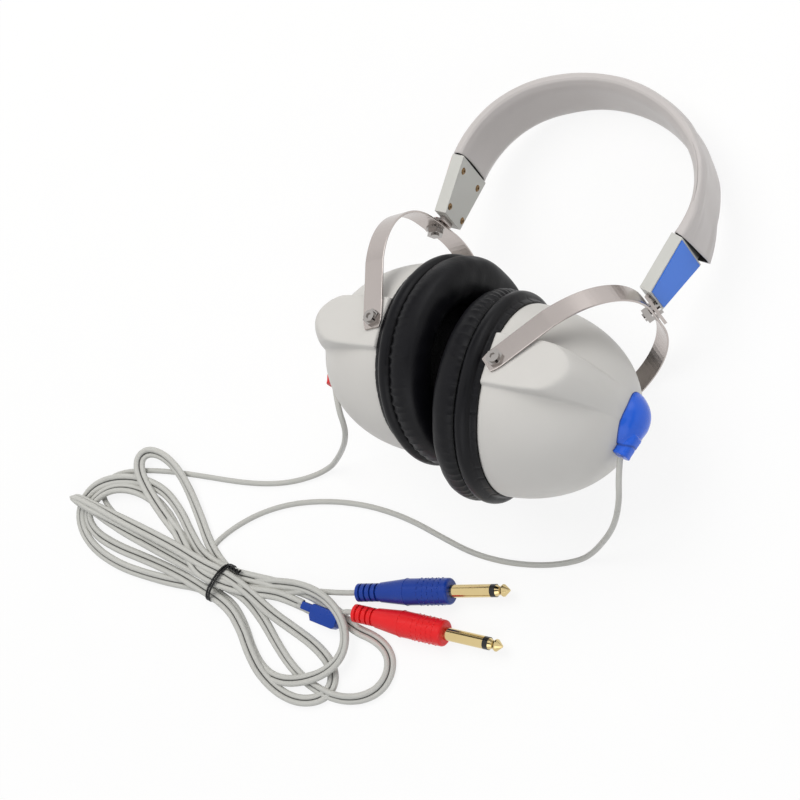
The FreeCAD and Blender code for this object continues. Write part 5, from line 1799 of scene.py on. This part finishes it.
def rib_points(tree, given):
    """Points in rows round the grip, each row half a step on, and each point's angle."""

    def maths(a, b, operation):
        return add(tree, "ShaderNodeMath", {0: a, 1: b}, operation=operation).outputs[0]

    total = maths(given["Rows"], given["Ribs"], "MULTIPLY")
    spots = add(tree, "GeometryNodePoints", {"Count": total}).outputs[0]
    index = add(tree, "GeometryNodeInputIndex").outputs[0]
    row = maths(maths(index, given["Ribs"], "DIVIDE"), 0.0, "FLOOR")
    half_step = maths(maths(row, 2.0, "MODULO"), 0.5, "MULTIPLY")
    step = maths(maths(index, given["Ribs"], "MODULO"), half_step, "ADD")
    angle = maths(maths(step, given["Ribs"], "DIVIDE"), 2 * math.pi, "MULTIPLY")
    at = add(
        tree,
        "ShaderNodeCombineXYZ",
        {
            "X": maths(maths(angle, 0.0, "COSINE"), given["Radius"], "MULTIPLY"),
            "Y": maths(maths(angle, 0.0, "SINE"), given["Radius"], "MULTIPLY"),
            "Z": maths(maths(row, given["Row Gap"], "MULTIPLY"), given["First Row"], "ADD"),
        },
    ).outputs[0]
    placed = add(tree, "GeometryNodeSetPosition", {"Geometry": spots, "Position": at})
    return placed.outputs[0], angle


def ribs_on(tree, given, spots, angle):
    """A small smooth lens on each point, long round the grip."""
    ball = add(tree, "GeometryNodeMeshIcoSphere", {"Radius": 0.5, "Subdivisions": 2})
    rib = add(tree, "GeometryNodeSetShadeSmooth", {"Geometry": ball.outputs[0]})
    turn = add(tree, "ShaderNodeCombineXYZ", {"Z": angle})
    size = add(
        tree,
        "ShaderNodeCombineXYZ",
        {"X": given["Rib Height"], "Y": given["Rib Length"], "Z": given["Rib Width"]},
    )
    return add(
        tree,
        "GeometryNodeInstanceOnPoints",
        {
            "Points": spots,
            "Instance": rib.outputs[0],
            "Rotation": turn.outputs[0],
            "Scale": size.outputs[0],
        },
    ).outputs[0]


def taper_ring(tree, given):
    """A thin raised ring where the grip's taper ends."""
    hoop = add(
        tree, "GeometryNodeCurvePrimitiveCircle", {"Resolution": 64, "Radius": given["Radius"]}
    )
    bead = add(tree, "GeometryNodeCurvePrimitiveCircle", {"Resolution": 10, "Radius": RING_RADIUS * MM})
    ring = add(
        tree,
        "GeometryNodeCurveToMesh",
        {"Curve": hoop.outputs[0], "Profile Curve": bead.outputs[0]},
    )
    ring = add(tree, "GeometryNodeSetShadeSmooth", {"Geometry": ring.outputs[0]})
    lift = add(tree, "ShaderNodeCombineXYZ", {"Z": given["Ring Place"]})
    return add(
        tree,
        "GeometryNodeTransform",
        {"Geometry": ring.outputs[0], "Translation": lift.outputs[0]},
    ).outputs[0]


def grip_rib_tree(material):
    """Rows of short ribs round a grip along Z, and a raised ring where its taper ends."""
    tree = bpy.data.node_groups.new("grip_ribs", "GeometryNodeTree")
    for name, kind in RIB_SOCKETS.items():
        tree.interface.new_socket(name, in_out="INPUT", socket_type=kind)
    tree.interface.new_socket("Geometry", in_out="OUTPUT", socket_type="NodeSocketGeometry")
    given = add(tree, "NodeGroupInput").outputs
    spots, angle = rib_points(tree, given)
    joined = add(tree, "GeometryNodeJoinGeometry")
    tree.links.new(ribs_on(tree, given, spots, angle), joined.inputs[0])
    tree.links.new(taper_ring(tree, given), joined.inputs[0])
    solid = add(tree, "GeometryNodeRealizeInstances", {"Geometry": joined.outputs[0]})
    finished = add(
        tree, "GeometryNodeSetMaterial", {"Geometry": solid.outputs[0], "Material": material}
    )
    add(tree, "NodeGroupOutput", {"Geometry": finished.outputs[0]})
    return tree


def grip_ribs(colour):
    """The ribs of one grip as a plain mesh."""
    start, way, slot = PLUGS[colour]
    tree = grip_rib_tree(FINISHES[slot])
    mesh = bpy.data.meshes.new(f"{colour}_grip_ribs")
    obj = bpy.data.objects.new(f"{colour}_grip_ribs", mesh)
    bpy.context.scene.collection.objects.link(obj)
    ribs = obj.modifiers.new("ribs", "NODES")
    ribs.node_group = tree
    sizes = {
        "Rows": RIB_ROWS,
        "Ribs": RIBS_ROUND,
        "Row Gap": RIB_ROW_GAP * MM,
        "First Row": (RELIEF + GRIP - RIBS_FROM_END) * MM,
        "Radius": (GRIP_RADIUS - RIB_SUNK) * MM,
        "Rib Length": RIB_LONG * MM,
        "Rib Width": RIB_WIDE * MM,
        "Rib Height": RIB_TALL * MM,
        "Ring Place": (RELIEF + TAPER) * MM,
    }
    for socket in tree.interface.items_tree:
        if socket.in_out == "INPUT":
            ribs[socket.identifier] = sizes[socket.name]
    seen = obj.evaluated_get(bpy.context.evaluated_depsgraph_get())
    made = bpy.data.meshes.new_from_object(seen)
    obj.modifiers.clear()
    turn = Vector((0, 0, 1)).rotation_difference(Vector(way)).to_matrix().to_4x4()
    made.transform(Matrix.Translation(Vector(start) * MM) @ turn)
    for vertex in made.vertices:
        vertex.co.z = max(vertex.co.z, RIB_LOWEST * MM)  # pressed flat on the floor
    obj.data = made
    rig.ride(obj, "headband")
    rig.slot(obj, slot)
    dress(obj, slot)


grip_ribs("blue")
grip_ribs("red")

# ---------------------------------------------------------------- output

bpy.context.view_layer.update()
json.dump(
    {"cad": [list(v) for v in cad_box], "visual": [list(v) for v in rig.bounds()]},
    open("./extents.json", "w"),
)
